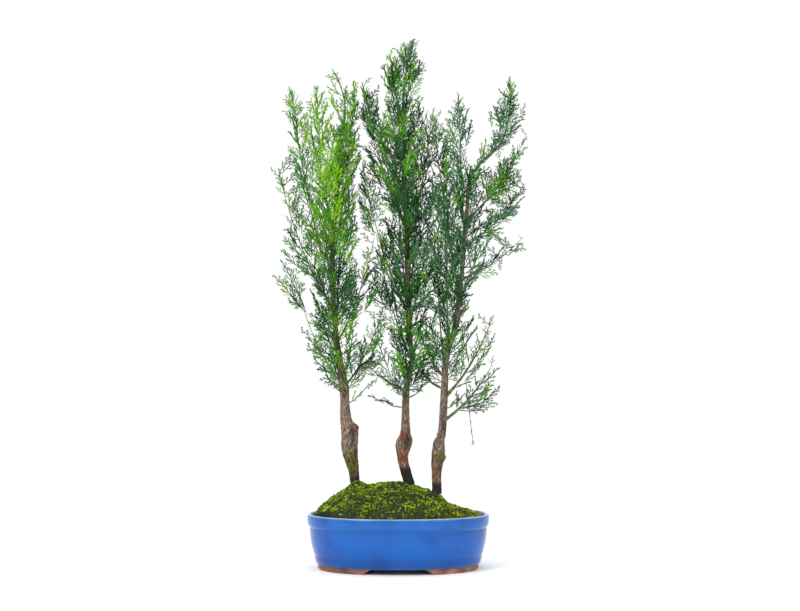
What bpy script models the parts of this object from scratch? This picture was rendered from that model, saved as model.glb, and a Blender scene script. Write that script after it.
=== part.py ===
"""Cypress bonsai: three young cypresses grown as one clump in an oval glazed pot.

Metres, +Z up, +X to the right and +Y to the back. The origin lies on the surface that the pot's feet
stand on, below the middle of the pot.
"""

import random
from math import acos, atan2, cos, pi, radians, sin, sqrt

import bmesh
import bpy
import numpy as np
from mathutils import Matrix, Quaternion, Vector

SEED = 7
GAP = 0.0003  # clearance that neighbouring pieces keep
UP = Vector((0, 0, 1))
GOLDEN_ANGLE = radians(137.5)

# Pot: an oval with slightly flattened sides. Its half-depth follows its half-length at every height.
POT_HALF_LENGTH = 0.150
POT_SLIMNESS = 0.0325  # half-length less half-depth
POT_SQUARENESS = 2.2  # exponent of the oval, 2 for an ellipse
POT_SIDES = 36
POT_UNDERSIDE = 0.0085
POT_WALL = 0.007
POT_FLOOR = 0.0165
POT_INNER_CORNER = 0.004  # rounding where the inside meets the floor
DRAIN_RADIUS = 0.009
DRAIN_OFFSET = 0.065  # of the two drain holes from the middle
# Outer outline from the underside up to the lip: inset from the widest half-length, and height
POT_OUTLINE = (
    (0.0165, 0.0085),
    (0.0140, 0.0125),
    (0.0122, 0.0195),
    (0.0124, 0.0210),
    (0.0095, 0.0300),
    (0.0062, 0.0420),
    (0.0042, 0.0560),
    (0.0036, 0.0650),
    (0.0038, 0.0675),
    (0.0022, 0.0700),
    (0.0005, 0.0735),
    (0.0000, 0.0810),
    (0.0006, 0.0865),
    (0.0022, 0.0885),
    (0.0050, 0.0885),
    (0.0066, 0.0868),
)

# Feet: a band of bare clay under each end, cut off on a slope at the front and the back
FOOT_INSET = 0.0185
FOOT_WIDTH = 0.016
FOOT_GAP_TOP = 0.043  # from the middle of the pot to the foot's top corner
FOOT_GAP_BOTTOM = 0.058
FOOT_SECTIONS = 14
FOOT_EDGE = 0.0012

# Soil and the moss mound on it
SOIL_TOP = 0.0830
SOIL_FLARE = 0.0005  # how much wider the soil is at its top than one stretch of wall lower
MOSS_EDGE_HEIGHT = 0.0905
MOSS_EDGE_INSET = 0.0070
MOSS_RINGS = (1.0, 0.93, 0.84, 0.72, 0.58, 0.43, 0.28, 0.14)
MOSS_LUMP = 0.0016
MOSS_UNDERCUT = 0.001  # how far the mound's edge overhangs its underside
MOSS_ROUNDNESS = 2.2  # exponent of its fall from crest to edge
MOSS_RIDGE = (  # x, height of the mound's crest
    (-0.143, 0.0905),
    (-0.114, 0.1120),
    (-0.076, 0.1375),
    (0.000, 0.1405),
    (0.050, 0.1305),
    (0.086, 0.1075),
    (0.143, 0.0895),
)

# Trunks: height, x, y and diameter of each station, from the cut at the moss to the tip
TRUNK_SIDES = 8
TRUNKS = {
    "left": (
        (0.1340, -0.0712, 0.006, 0.0160),
        (0.1560, -0.0737, 0.006, 0.0178),
        (0.1880, -0.0800, 0.007, 0.0262),
        (0.2290, -0.0818, 0.008, 0.0268),
        (0.2430, -0.0868, 0.008, 0.0190),
        (0.2710, -0.0888, 0.007, 0.0152),
        (0.2960, -0.0902, 0.006, 0.0165),
        (0.3290, -0.0960, 0.005, 0.0125),
        (0.3900, -0.1045, 0.004, 0.0095),
        (0.4960, -0.1110, 0.004, 0.0078),
        (0.5880, -0.1055, 0.006, 0.0062),
        (0.6650, -0.0985, 0.008, 0.0050),
        (0.7150, -0.1000, 0.008, 0.0040),
    ),
    "middle": (
        (0.1370, 0.0180, 0.010, 0.0175),
        (0.1600, 0.0118, 0.010, 0.0176),
        (0.1800, 0.0074, 0.011, 0.0188),
        (0.2040, 0.0100, 0.012, 0.0268),
        (0.2240, 0.0120, 0.012, 0.0158),
        (0.2660, 0.0122, 0.012, 0.0122),
        (0.3050, 0.0152, 0.012, 0.0100),
        (0.3460, 0.0235, 0.013, 0.0090),
        (0.3850, 0.0185, 0.014, 0.0092),
        (0.4700, 0.0164, 0.014, 0.0098),
        (0.5800, 0.0140, 0.013, 0.0082),
        (0.6900, 0.0085, 0.012, 0.0066),
        (0.7720, 0.0085, 0.012, 0.0046),
    ),
    "right": (
        (0.1270, 0.0635, -0.014, 0.0162),
        (0.1560, 0.0628, -0.014, 0.0162),
        (0.1880, 0.0660, -0.014, 0.0212),
        (0.2080, 0.0674, -0.013, 0.0174),
        (0.2240, 0.0726, -0.012, 0.0136),
        (0.2960, 0.0764, -0.010, 0.0118),
        (0.3460, 0.0805, -0.008, 0.0092),
        (0.4050, 0.0962, -0.006, 0.0096),
        (0.4960, 0.1068, -0.006, 0.0076),
        (0.5880, 0.1148, -0.006, 0.0064),
        (0.6380, 0.1185, -0.006, 0.0060),
        (0.6680, 0.1360, -0.005, 0.0056),
        (0.6980, 0.1680, -0.004, 0.0040),
    ),
}

# Limbs: where each leaves its trunk (height), the way it goes (degrees from +X towards +Y), how far its
# tip is from there, how high the tip is, how wide its foliage spreads, and the share that is bare bough.
LIMBS = {
    "left": {
        "left_leader": (0.460, 184, 0.071, 0.802, 0.030, 0.20),
        "left_middle": (0.425, 176, 0.095, 0.662, 0.036, 0.20),
        "left_arm": (0.372, 186, 0.094, 0.492, 0.030, 0.20),
        "left_skirt": (0.296, 200, 0.074, 0.436, 0.034, 0.20),
        "right_leader": (0.500, -12, 0.040, 0.812, 0.028, 0.20),
        "right_middle": (0.370, 12, 0.064, 0.552, 0.034, 0.20),
        "right_skirt": (0.296, -8, 0.066, 0.428, 0.034, 0.20),
        "front": (0.380, -118, 0.066, 0.795, 0.036, 0.0),
        "back": (0.390, 80, 0.060, 0.780, 0.036, 0.0),
    },
    "middle": {
        "left_leader": (0.560, 182, 0.074, 0.809, 0.030, 0.20),
        "left_middle": (0.420, 192, 0.079, 0.668, 0.034, 0.20),
        "left_arm": (0.340, 172, 0.062, 0.562, 0.030, 0.20),
        "left_skirt": (0.290, 188, 0.068, 0.336, 0.032, 0.25),
        "right_leader": (0.540, 2, 0.044, 0.765, 0.030, 0.20),
        "right_middle": (0.400, -14, 0.040, 0.610, 0.030, 0.20),
        "front": (0.370, -125, 0.056, 0.845, 0.036, 0.0),
        "back": (0.400, 70, 0.054, 0.800, 0.036, 0.0),
        "front_skirt": (0.290, -70, 0.050, 0.400, 0.034, 0.0),
    },
    "right": {
        "right_crest": (0.575, -6, 0.101, 0.718, 0.032, 0.20),
        "right_upper": (0.530, 6, 0.102, 0.636, 0.031, 0.20),
        "right_arm": (0.475, -6, 0.104, 0.546, 0.028, 0.20),
        "right_low": (0.278, 8, 0.084, 0.416, 0.032, 0.25),
        "right_foot": (0.240, -8, 0.080, 0.330, 0.034, 0.42),
        "left_leader": (0.318, 196, 0.022, 0.640, 0.032, 0.0),
        "inner_leader": (0.540, 200, 0.010, 0.787, 0.028, 0.0),
        "left_upper": (0.450, 170, 0.042, 0.755, 0.028, 0.20),
        "front": (0.350, -92, 0.056, 0.680, 0.038, 0.0),
        "back": (0.360, 96, 0.056, 0.700, 0.040, 0.0),
    },
}
# Leaders: the tip of the stem that grows on from each trunk's end, and how wide its foliage spreads
LEADERS = {
    "left": ((-0.1120, 0.004, 0.8340), 0.034),
    "middle": ((0.0260, 0.008, 0.8870), 0.040),
    "right": ((0.1880, -0.004, 0.8200), 0.028),
}
BOUGH_SIDES = 6
BOUGH_RINGS = 4
BOUGH_DIAMETER = 0.0062  # at its foot
BOUGH_TAPER = 0.62  # its tip's diameter as a share of its foot's
LIMB_STEEPNESS = 0.62  # how far out a limb goes before it turns up, as a share of its reach
LIMB_LIFT = 0.36  # how far up it has gone by then, as a share of its climb
LEADER_ELBOW = 0.45  # how long a leader keeps its trunk's direction, as a share of its length

# Foliage: stems carry twigs, and twigs carry shoots. All are thickened, and each shoot stands for a spray.
CROWN_LEFT = -0.214
CROWN_RIGHT = 0.218
CROWN_HALF_DEPTH = 0.104
CROWN_TOP = 0.887
TIP_MARGIN = 0.024  # how far foliage may rise above the tip of its mass's stem
MASS_REACH = 1.45  # how far a tip may be from its stem, as a multiple of the mass's spread
STEM_RINGS = 7
STEM_TIP_RADIUS = 0.0005
TWIG_SPACING = 0.0238
FEWEST_TWIGS = 5
TWIG_RADIUS = 0.0017
TWIG_LEAN = 0.85  # how far a twig leans out of its stem, against its rise along the stem
TWIG_RISE = 0.60  # how much a twig turns up
TWIG_LONGEST = 0.098
TWIG_BEND = 0.45  # where it bends up, as a share of its length
TWIG_REACH = 2.1  # its length as a multiple of the spread
SHORTER_TRIES = (1.0, 0.85, 0.7, 0.55)  # lengths tried, one after another, where room is short
FOLIAGE_FOOT = 0.50  # spread at the foot of a stem, as a share of its mass's spread
FOLIAGE_SWELL = 0.75  # how much more it is at its widest
FOLIAGE_TAPER = 0.35  # how much less it is at the tip
SHOOT_RADIUS = 0.0080
SHOOT_BELLY = 0.45  # where a shoot is thickest, as a share of its length
SHOOT_LEAN = 0.75
SHOOT_RISE = 0.25
SHOOT_LONGEST = 0.062
SHOOT_SHORTEST = 0.024
SHOOT_PLACES = ((0.14, -1), (0.30, 1), (0.48, -1))  # share of the twig's length, side
LEAST_APART = -0.0032  # between neighbouring shoots of one mass, whose bellies may touch

# Hang tag: a blank card on a thin wire loop over the lowest right bough
TAG_HOLE = Vector((0.1225, -0.021, 0.2050))
TAG_WIDTH = 0.070
TAG_DROP = 0.058
TAG_THICKNESS = 0.0012
TAG_CORNER = 0.008
TAG_CORNER_STEPS = 4
TAG_HOLE_RADIUS = 0.0024
WIRE_RADIUS = 0.0006
WIRE_HANGS_AT = 0.1150  # along X
WIRE_STEPS = 8  # in each half turn of its loop

chance = random.Random(SEED)
spines = {}  # name of a foliage mass: points along its stem, its spread, and its stem's radius


def clear_scene():
    for thing in list(bpy.data.objects):
        bpy.data.objects.remove(thing, do_unlink=True)


def principled(name, colour, roughness, metallic=0.0):
    """A Principled material of one sRGB colour."""
    channels = [int(colour[i : i + 2], 16) / 255 for i in (1, 3, 5)]
    linear = [c / 12.92 if c <= 0.04045 else ((c + 0.055) / 1.055) ** 2.4 for c in channels]
    material = bpy.data.materials.new(name)
    material.use_nodes = True
    shader = material.node_tree.nodes["Principled BSDF"]
    shader.inputs["Base Color"].default_value = (*linear, 1)
    shader.inputs["Roughness"].default_value = roughness
    shader.inputs["Metallic"].default_value = metallic
    material.diffuse_color = (*linear, 1)
    return material


def add_object(name, mesh, material, collection=None):
    """Makes an object of a bmesh, shaded smooth except across sharp edges."""
    data = bpy.data.meshes.new(name)
    mesh.to_mesh(data)
    mesh.free()
    data.materials.append(material)
    data.shade_smooth()
    data.set_sharp_from_angle(angle=radians(40))
    thing = bpy.data.objects.new(name, data)
    (collection or bpy.context.scene.collection).objects.link(thing)
    return thing


def loft(rings):
    """A closed body through rings of equal count: a capped circle, extruded from ring to ring."""
    mesh = bmesh.new()
    bmesh.ops.create_circle(mesh, cap_ends=True, segments=len(rings[0]), radius=1)
    cap = mesh.faces[:][0]
    for index, ring in enumerate(rings):
        if index:
            last = cap
            grown = bmesh.ops.extrude_face_region(mesh, geom=[cap])["geom"]
            cap = next(part for part in grown if isinstance(part, bmesh.types.BMFace))
            if index > 1:
                bmesh.ops.delete(mesh, geom=[last], context="FACES_ONLY")
        for loop, point in zip(cap.loops, ring):
            loop.vert.co = point
    bmesh.ops.recalc_face_normals(mesh, faces=mesh.faces)
    return mesh


def smooth_rows(rows, steps):
    """Rows on a smooth curve through the given rows, in `steps` stretches between neighbours."""
    rows = np.array(rows, float)
    ends = np.vstack((2 * rows[0] - rows[1], rows, 2 * rows[-1] - rows[-2]))
    smooth = []
    for before, start, end, after in zip(ends, ends[1:], ends[2:], ends[3:]):
        for t in np.arange(steps) / steps:
            bend = (2 * before - 5 * start + 4 * end - after) * t**2
            twist = (3 * start - before - 3 * end + after) * t**3
            smooth.append((2 * start + (end - before) * t + bend + twist) / 2)
    return np.array(smooth + [rows[-1]])


def frames_along(points, first=None):
    """A (side, side, tangent) frame at each point, turned as little as possible from one to the next."""
    tangents = [(b - a).normalized() for a, b in zip(points, points[1:])]
    tangents = [tangents[0]] + [(a + b).normalized() for a, b in zip(tangents, tangents[1:])] + [tangents[-1]]
    if first:
        tangents[0] = first
    across = tangents[0].orthogonal().normalized()
    frames = []
    for index, tangent in enumerate(tangents):
        if index:
            across = tangents[index - 1].rotation_difference(tangent) @ across
        frames.append((across, tangent.cross(across), tangent))
    return frames


def tube_rings(points, radii, sides, first=None):
    rings = []
    for point, radius, (u, v, _) in zip(points, radii, frames_along(points, first)):
        angles = [2 * pi * k / sides for k in range(sides)]
        rings.append([point + (cos(a) * u + sin(a) * v) * float(radius) for a in angles])
    return rings


def spindle(points, radii):
    """A three-sided spindle: a ball of few faces, wrapped round a bent axis, with a point at each end."""
    count = len(points) - 1
    mesh = bmesh.new()
    bmesh.ops.create_uvsphere(mesh, u_segments=3, v_segments=count, radius=1)
    frames = frames_along(points)
    for vert in mesh.verts:
        level = count - round(acos(max(-1, min(1, vert.co.z))) * count / pi)
        around = atan2(vert.co.y, vert.co.x)
        u, v, _ = frames[level]
        vert.co = points[level] + radii[level] * (cos(around) * u + sin(around) * v)
    return mesh


# ---------------------------------------------------------------- pot, feet, soil and moss


def oval(half_length, angle):
    """A point of the pot's oval plan, as (x, y)."""
    half_depth = half_length - POT_SLIMNESS
    c, s = cos(angle), sin(angle)
    power = 2 / POT_SQUARENESS
    return (
        half_length * abs(c) ** power * (1 if c >= 0 else -1),
        half_depth * abs(s) ** power * (1 if s >= 0 else -1),
    )


def oval_ring(half_length, height):
    return [Vector((*oval(half_length, 2 * pi * k / POT_SIDES), height)) for k in range(POT_SIDES)]


def inner_wall():
    """(half-length, height) of the pot's inside, from the lip's inner edge down to its floor."""
    rows = []
    for inset, height in reversed(POT_OUTLINE[4:8:2]):
        rows.append((POT_HALF_LENGTH - inset - POT_WALL, height))
    corner = rows[-1][0] - POT_INNER_CORNER
    return rows + [(corner, POT_FLOOR + POT_INNER_CORNER), (corner - POT_INNER_CORNER, POT_FLOOR)]


def cut(target, cutter_mesh, name):
    """Cuts a closed mesh out of an object with a Boolean, and leaves the cutter hidden."""
    data = bpy.data.meshes.new(name)
    cutter_mesh.to_mesh(data)
    cutter_mesh.free()
    cutter = bpy.data.objects.new(name, data)
    bpy.context.scene.collection.objects.link(cutter)
    cutter.hide_render = True
    cutter.display_type = "WIRE"
    modifier = target.modifiers.new(name, "BOOLEAN")
    modifier.operation = "DIFFERENCE"
    modifier.object = cutter


def make_pot(glaze):
    rows = [(POT_HALF_LENGTH - inset, height) for inset, height in POT_OUTLINE] + inner_wall()
    pot = add_object("pot", loft([oval_ring(*row) for row in rows]), glaze)
    for side in (-1, 1):
        drain = bmesh.new()
        place = Matrix.Translation((side * DRAIN_OFFSET, 0, POT_FLOOR / 2))
        bmesh.ops.create_cone(
            drain,
            cap_ends=True,
            segments=16,
            radius1=DRAIN_RADIUS,
            radius2=DRAIN_RADIUS,
            depth=2 * POT_FLOOR,
            matrix=place,
        )
        cut(pot, drain, f"drain_hole_{'left' if side < 0 else 'right'}")


def make_foot(side, clay):
    """One foot: the section of a band, swept round the end of the oval."""
    outer = POT_HALF_LENGTH - FOOT_INSET
    inner = outer - FOOT_WIDTH
    top = POT_UNDERSIDE - GAP
    rings = []
    for index in range(FOOT_SECTIONS + 1):
        share = 2 * index / FOOT_SECTIONS - 1  # -1 at the front end, 1 at the back end
        ring = []
        for half_length, height in (
            (inner, 0),
            (outer - FOOT_EDGE, 0),
            (outer, FOOT_EDGE),
            (outer, top),
            (inner, top),
        ):
            start = FOOT_GAP_BOTTOM + (FOOT_GAP_TOP - FOOT_GAP_BOTTOM) * height / top
            widest = acos((start / half_length) ** (POT_SQUARENESS / 2))
            x, y = oval(half_length, widest * share)
            ring.append(Vector((side * x, y, height)))
        rings.append(ring)
    add_object("foot_right" if side > 0 else "foot_left", loft(rings), clay)


def make_soil(soil):
    rows = [(half_length - GAP, height + GAP) for half_length, height in reversed(inner_wall())]
    rows.append((rows[-1][0] + SOIL_FLARE, SOIL_TOP))
    add_object("soil", loft([oval_ring(*row) for row in rows]), soil)


def moss_height(x, y):
    """Height of the mound: its crest along X, falling off to the pot's rim at the front and the back."""
    xs, heights = zip(*MOSS_RIDGE)
    crest = float(np.interp(x, xs, heights))
    half_length = POT_HALF_LENGTH - MOSS_EDGE_INSET
    across = max(1e-6, 1 - abs(x / half_length) ** POT_SQUARENESS) ** (1 / POT_SQUARENESS)
    fall = min(1.0, abs(y) / ((half_length - POT_SLIMNESS) * across))
    lumps = MOSS_LUMP * (sin(x * 190 + 1) * cos(y * 170) + sin(x * 95 - y * 120))
    return MOSS_EDGE_HEIGHT + (crest - MOSS_EDGE_HEIGHT) * (1 - fall**MOSS_ROUNDNESS) + lumps * (1 - fall**4)


def make_moss(moss):
    half_length = POT_HALF_LENGTH - MOSS_EDGE_INSET - POT_WALL / 2
    rings = [oval_ring(half_length - MOSS_UNDERCUT, SOIL_TOP + GAP)]
    for share in MOSS_RINGS:
        ring = []
        for point in oval_ring(half_length, 0):
            x, y = point.x * share, point.y * share
            ring.append(Vector((x, y, moss_height(x, y))))
        rings.append(ring)
    mound = add_object("moss_mound", loft(rings), moss)
    for tree, rows in TRUNKS.items():
        rings = trunk_rings(rows[:3], 2 * GAP)
        rings[0] = [point - GAP * UP for point in rings[0]]
        cut(mound, loft(rings), f"socket_{tree}")


# ---------------------------------------------------------------- trunks and boughs


def trunk_rings(rows, grow=0.0):
    rows = smooth_rows(rows, 2)
    points = [Vector((x, y, z)) for z, x, y, _ in rows]
    radii = [diameter / 2 + grow for _, _, _, diameter in rows]
    return tube_rings(points, radii, TRUNK_SIDES, UP)


def trunk_at(tree, height):
    """Centre and radius of a trunk at a height."""
    rows = smooth_rows(TRUNKS[tree], 8)
    x, y, diameter = (float(np.interp(height, rows[:, 0], rows[:, i])) for i in (1, 2, 3))
    return Vector((x, y, height)), diameter / 2


class Held:
    """Every limb, stem, twig and spray made so far, as straight stretches with a radius and an owner."""

    most = 20000

    def __init__(self):
        self.count = 0
        self.start = np.zeros((self.most, 3))
        self.end = np.zeros((self.most, 3))
        self.radius = np.zeros(self.most)
        self.owner = np.zeros(self.most, int)
        self.owners = []

    def number(self, owner):
        if owner not in self.owners:
            self.owners.append(owner)
        return self.owners.index(owner)

    def add(self, owner, points, radii):
        number = self.number(owner)
        for a, b, radius in zip(points, points[1:], radii):
            self.start[self.count] = a
            self.end[self.count] = b
            self.radius[self.count] = radius
            self.owner[self.count] = number
            self.count += 1

    def nearest(self, owner, a, b, own=False):
        """The least distance from the stretch a, b to the surface of what others hold, or the owner does."""
        chosen = (self.owner[: self.count] == self.number(owner)) == own
        start = self.start[: self.count][chosen]
        along = np.array(b) - np.array(a)
        theirs = self.end[: self.count][chosen] - start
        offset = np.array(a) - start
        aa = along @ along
        tt = np.maximum((theirs * theirs).sum(axis=1), 1e-12)
        at = theirs @ along
        ao = offset @ along
        to = (theirs * offset).sum(axis=1)
        s = np.clip((at * to - ao * tt) / np.maximum(aa * tt - at * at, 1e-16), 0, 1)
        t = np.clip((at * s + to) / tt, 0, 1)
        s = np.clip((at * t - ao) / aa, 0, 1)
        apart = np.linalg.norm(offset + s[:, None] * along - t[:, None] * theirs, axis=1)
        return float((apart - self.radius[: self.count][chosen]).min())


held = Held()


def make_trunk(tree, bark):
    add_object(f"trunk_{tree}", loft(trunk_rings(TRUNKS[tree])), bark)
    rows = smooth_rows(TRUNKS[tree], 6)
    held.add("limbs", [(x, y, z) for z, x, y, _ in rows], rows[:, 3] / 2)


def limb_axis(tree, row, count=60):
    """Points of a limb from its trunk's middle to its tip: out first, then up."""
    leaves_at, turn, reach, top, _, _ = row
    start, _ = trunk_at(tree, leaves_at)
    outward = Vector((cos(radians(turn)), sin(radians(turn)), 0))
    tip = start + reach * outward
    tip.z = top
    elbow = start + LIMB_STEEPNESS * reach * outward + LIMB_LIFT * (tip.z - start.z) * UP
    points = []
    for index in range(count + 1):
        t = index / count
        points.append((1 - t) ** 2 * start + 2 * t * (1 - t) * elbow + t * t * tip)
    return points


def first_clear(tree, points, radius):
    """Index of the first axis point where a flat end of this radius stands clear of the trunk."""
    for index, (point, ahead) in enumerate(zip(points, points[1:])):
        tangent = (ahead - point).normalized()
        across = tangent.orthogonal().normalized()
        ring = [point + radius * (Quaternion(tangent, k * pi / 4) @ across) for k in range(8)]
        clearances = []
        for corner in ring:
            centre, trunk_radius = trunk_at(tree, corner.z)
            clearances.append(sqrt((corner.x - centre.x) ** 2 + (corner.y - centre.y) ** 2) - trunk_radius)
        if min(clearances) > GAP:
            return index
    return len(points) - 2


def pick(points, count):
    """`count` points evenly along a polyline of many."""
    places = np.linspace(0, len(points) - 1, count)
    array = np.array([tuple(p) for p in points])
    columns = [np.interp(places, np.arange(len(points)), array[:, i]) for i in range(3)]
    return [Vector(p) for p in zip(*columns)]


def make_limb(tree, name, row, bark):
    """The bare bough of a limb, where it has one. Its foliage grows on from the bough's end."""
    share = row[5]
    radius = BOUGH_DIAMETER / 2 if share else TWIG_RADIUS
    axis = limb_axis(tree, row)
    start = first_clear(tree, axis, radius)
    if share:
        end = start + round(share * len(axis))
        points = pick(axis[start : end + 1], BOUGH_RINGS)
        radii = np.linspace(radius, radius * BOUGH_TAPER, BOUGH_RINGS)
        add_object(f"bough_{tree}_{name}", loft(tube_rings(points, radii, BOUGH_SIDES)), bark)
        held.add("limbs", points, radii)
        radius *= BOUGH_TAPER
        tangent = (axis[end + 1] - axis[end]).normalized()
        axis = [axis[end] + GAP * tangent] + axis[end + 1 :]
    else:
        axis = axis[start:]
    spines[f"foliage_{tree}_{name}"] = (axis, row[4], radius)


def make_leader(tree):
    """The stem that grows on from the end of a trunk."""
    tip, spread = LEADERS[tree]
    rows = smooth_rows(TRUNKS[tree], 8)
    end = Vector((rows[-1][1], rows[-1][2], rows[-1][0]))
    tangent = (end - Vector((rows[-2][1], rows[-2][2], rows[-2][0]))).normalized()
    start = end + 2 * GAP * tangent
    tip = Vector(tip)
    elbow = start + tangent * (tip - start).length * LEADER_ELBOW
    points = []
    for index in range(41):
        t = index / 40
        points.append((1 - t) ** 2 * start + 2 * t * (1 - t) * elbow + t * t * tip)
    spines[f"foliage_{tree}_leader"] = (points, spread, rows[-1][3] / 2)


# ---------------------------------------------------------------- foliage


def in_space(owner, point):
    """Whether a tip stays in its own mass's space: nearer to its stem than to any other, in spreads."""
    if not CROWN_LEFT < point.x < CROWN_RIGHT or abs(point.y) > CROWN_HALF_DEPTH:
        return False
    if point.z > min(CROWN_TOP, spines[owner][0][-1].z + TIP_MARGIN):
        return False
    away = {}
    for name, (axis, spread, _) in spines.items():
        nodes = np.array([tuple(p) for p in axis[::4] + [axis[-1]]])
        away[name] = np.linalg.norm(nodes - np.array(point), axis=1).min() / spread
    return away[owner] < MASS_REACH and away[owner] <= min(away.values())


def is_clear(owner, stretches):
    """Whether stretches, each two ends and a radius, stay clear of limbs and other masses.

    The last one, the outer end, also stays apart from the rest of its own mass.
    """
    if any(held.nearest(owner, a, b) < radius + GAP for a, b, radius in stretches):
        return False
    a, b, radius = stretches[-1]
    return held.nearest(owner, a, b, own=True) > LEAST_APART + radius


def shoot_stretches(base, tip, radius):
    """A shoot as stretches: full width to the middle of its outer part, then half."""
    shoulder = base.lerp(tip, (1 + SHOOT_BELLY) / 2)
    return [(base.lerp(tip, 0.1), shoulder, radius), (shoulder, tip, radius / 2)]


def foliage_width(share):
    """How far foliage spreads from its stem, by the share of the way along it."""
    swell = FOLIAGE_SWELL * sin(pi * min(1.0, share * 1.1 + 0.10))
    return (FOLIAGE_FOOT + swell) * (1 - FOLIAGE_TAPER * share)


def make_twig(owner, start, way, length, bodies):
    """A twig that bends up and swells to a shoot at its end, with side shoots. False where it has no room."""
    middle = start + TWIG_BEND * length * way
    onward = (way + TWIG_RISE * UP).normalized()
    end = middle + (1 - TWIG_BEND) * length * onward
    thick = SHOOT_RADIUS * min(1.0, length / TWIG_LONGEST + 0.25)
    stretches = [(start.lerp(middle, 0.2), middle, TWIG_RADIUS)] + shoot_stretches(middle, end, thick)
    if not in_space(owner, end) or not is_clear(owner, stretches):
        return False
    points = [start, start.lerp(middle, 0.6), middle.lerp(end, SHOOT_BELLY), end]
    bodies.append(spindle(points, [0, TWIG_RADIUS, thick, 0]))
    for a, b, radius in stretches:
        held.add(owner, [a, b], [radius])
    flat = Quaternion(onward, chance.uniform(-1.3, 1.3)) @ onward.cross(UP).normalized()
    for share, side in SHOOT_PLACES:
        base = start.lerp(middle, share * 2) if share < 0.5 else middle.lerp(end, share * 2 - 1)
        lean = (way + SHOOT_LEAN * side * flat + SHOOT_RISE * UP).normalized()
        reach = min(SHOOT_LONGEST, (1.1 - share) * length)
        make_shoot(owner, base, lean, reach * chance.uniform(0.85, 1.1), bodies)
    return True


def make_shoot(owner, base, way, length, bodies):
    """A slim three-sided shoot with its root sunk in what carries it, made smaller where room is short."""
    while length > SHOOT_SHORTEST:
        tip = base + length * way
        radius = SHOOT_RADIUS * min(1.0, length / SHOOT_LONGEST + 0.15)
        stretches = shoot_stretches(base, tip, radius)
        if in_space(owner, tip) and is_clear(owner, stretches):
            bodies.append(spindle([base, base.lerp(tip, SHOOT_BELLY), tip], [0, radius, 0]))
            for a, b, thick in stretches:
                held.add(owner, [a, b], [thick])
            return
        length *= SHORTER_TRIES[1]


def fuse(name, bodies, material):
    """Joins a mass's bodies with one Boolean union on a collection, and drops any loose scrap."""
    collection = bpy.data.collections.new(name)
    bpy.context.scene.collection.children.link(collection)
    mass = add_object(name, bodies[0], material)
    for index, body in enumerate(bodies[1:]):
        add_object(f"{name}_piece_{index}", body, material, collection)
    union = mass.modifiers.new("union", "BOOLEAN")
    union.operation = "UNION"
    union.operand_type = "COLLECTION"
    union.collection = collection
    union.solver = "MANIFOLD"
    graph = bpy.context.evaluated_depsgraph_get()
    joined = bpy.data.meshes.new_from_object(mass.evaluated_get(graph))
    mass.modifiers.clear()
    mass.data = joined
    for thing in list(collection.objects):
        bpy.data.objects.remove(thing, do_unlink=True)
    bpy.data.collections.remove(collection)
    keep_largest(joined)


def keep_largest(data):
    mesh = bmesh.new()
    mesh.from_mesh(data)
    waiting = set(mesh.verts)
    islands = []
    while waiting:
        island, edge = set(), [waiting.pop()]
        while edge:
            vert = edge.pop()
            island.add(vert)
            for link in vert.link_edges:
                other = link.other_vert(vert)
                if other in waiting:
                    waiting.discard(other)
                    edge.append(other)
        islands.append(island)
    islands.sort(key=len)
    for island in islands[:-1]:
        bmesh.ops.delete(mesh, geom=list(island), context="VERTS")
    mesh.to_mesh(data)
    mesh.free()


def make_foliage(owner, material):
    """A mass of foliage: a stem that ends in a shoot, with twigs wound round it by the golden angle."""
    axis, spread, radius = spines[owner]
    radii = np.linspace(radius, TWIG_RADIUS, STEM_RINGS - 1).tolist() + [STEM_TIP_RADIUS]
    radii[-2] = SHOOT_RADIUS * 0.75
    bodies = [loft(tube_rings(pick(axis, STEM_RINGS), radii, 3))]
    length = sum((b - a).length for a, b in zip(axis, axis[1:]))
    count = max(FEWEST_TWIGS, round(length / TWIG_SPACING))
    turn = chance.uniform(0, 2 * pi)
    for index in range(count):
        share = (index + 0.3) / count
        place = int(share * (len(axis) - 1))
        base = axis[place]
        tangent = (axis[place + 1] - base).normalized()
        turn += GOLDEN_ANGLE + chance.uniform(-0.3, 0.3)
        outward = Quaternion(tangent, turn) @ tangent.orthogonal().normalized()
        way = (TWIG_LEAN * outward + tangent * (0.55 + 0.5 * share)).normalized()
        full = min(TWIG_LONGEST, TWIG_REACH * spread * foliage_width(share) * chance.uniform(0.9, 1.1))
        for shorter in SHORTER_TRIES:
            if make_twig(owner, base, way, full * shorter, bodies):
                break
    fuse(owner, bodies, material)


# ---------------------------------------------------------------- hang tag


def make_tag(paper, wire):
    """A blank card, round at its corners and narrow at the top, with a hole for its wire."""
    half, drop = TAG_WIDTH / 2, TAG_DROP
    corners = (
        Vector((0, TAG_CORNER / 2)),
        Vector((half - TAG_CORNER, -drop + TAG_CORNER * 1.5)),
        Vector((-half + TAG_CORNER, -drop + TAG_CORNER * 1.5)),
    )
    outline = []
    for centre, first in zip(corners, (150, 30, -90)):
        for step in range(TAG_CORNER_STEPS + 1):
            angle = radians(first - 120 * step / TAG_CORNER_STEPS)
            outline.append(centre + TAG_CORNER * Vector((cos(angle), sin(angle))))
    rings = []
    for depth in (-TAG_THICKNESS / 2, TAG_THICKNESS / 2):
        rings.append([TAG_HOLE + Vector((point.x, depth, point.y)) for point in outline])
    tag = add_object("hang_tag", loft(rings), paper)
    hole = bmesh.new()
    place = Matrix.Translation(TAG_HOLE) @ Matrix.Rotation(pi / 2, 4, "X")
    bmesh.ops.create_cone(
        hole,
        cap_ends=True,
        segments=12,
        radius1=TAG_HOLE_RADIUS,
        radius2=TAG_HOLE_RADIUS,
        depth=4 * TAG_THICKNESS,
        matrix=place,
    )
    cut(tag, hole, "tag_hole")

    add_object("tag_wire", wire_loop(), wire)


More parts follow.
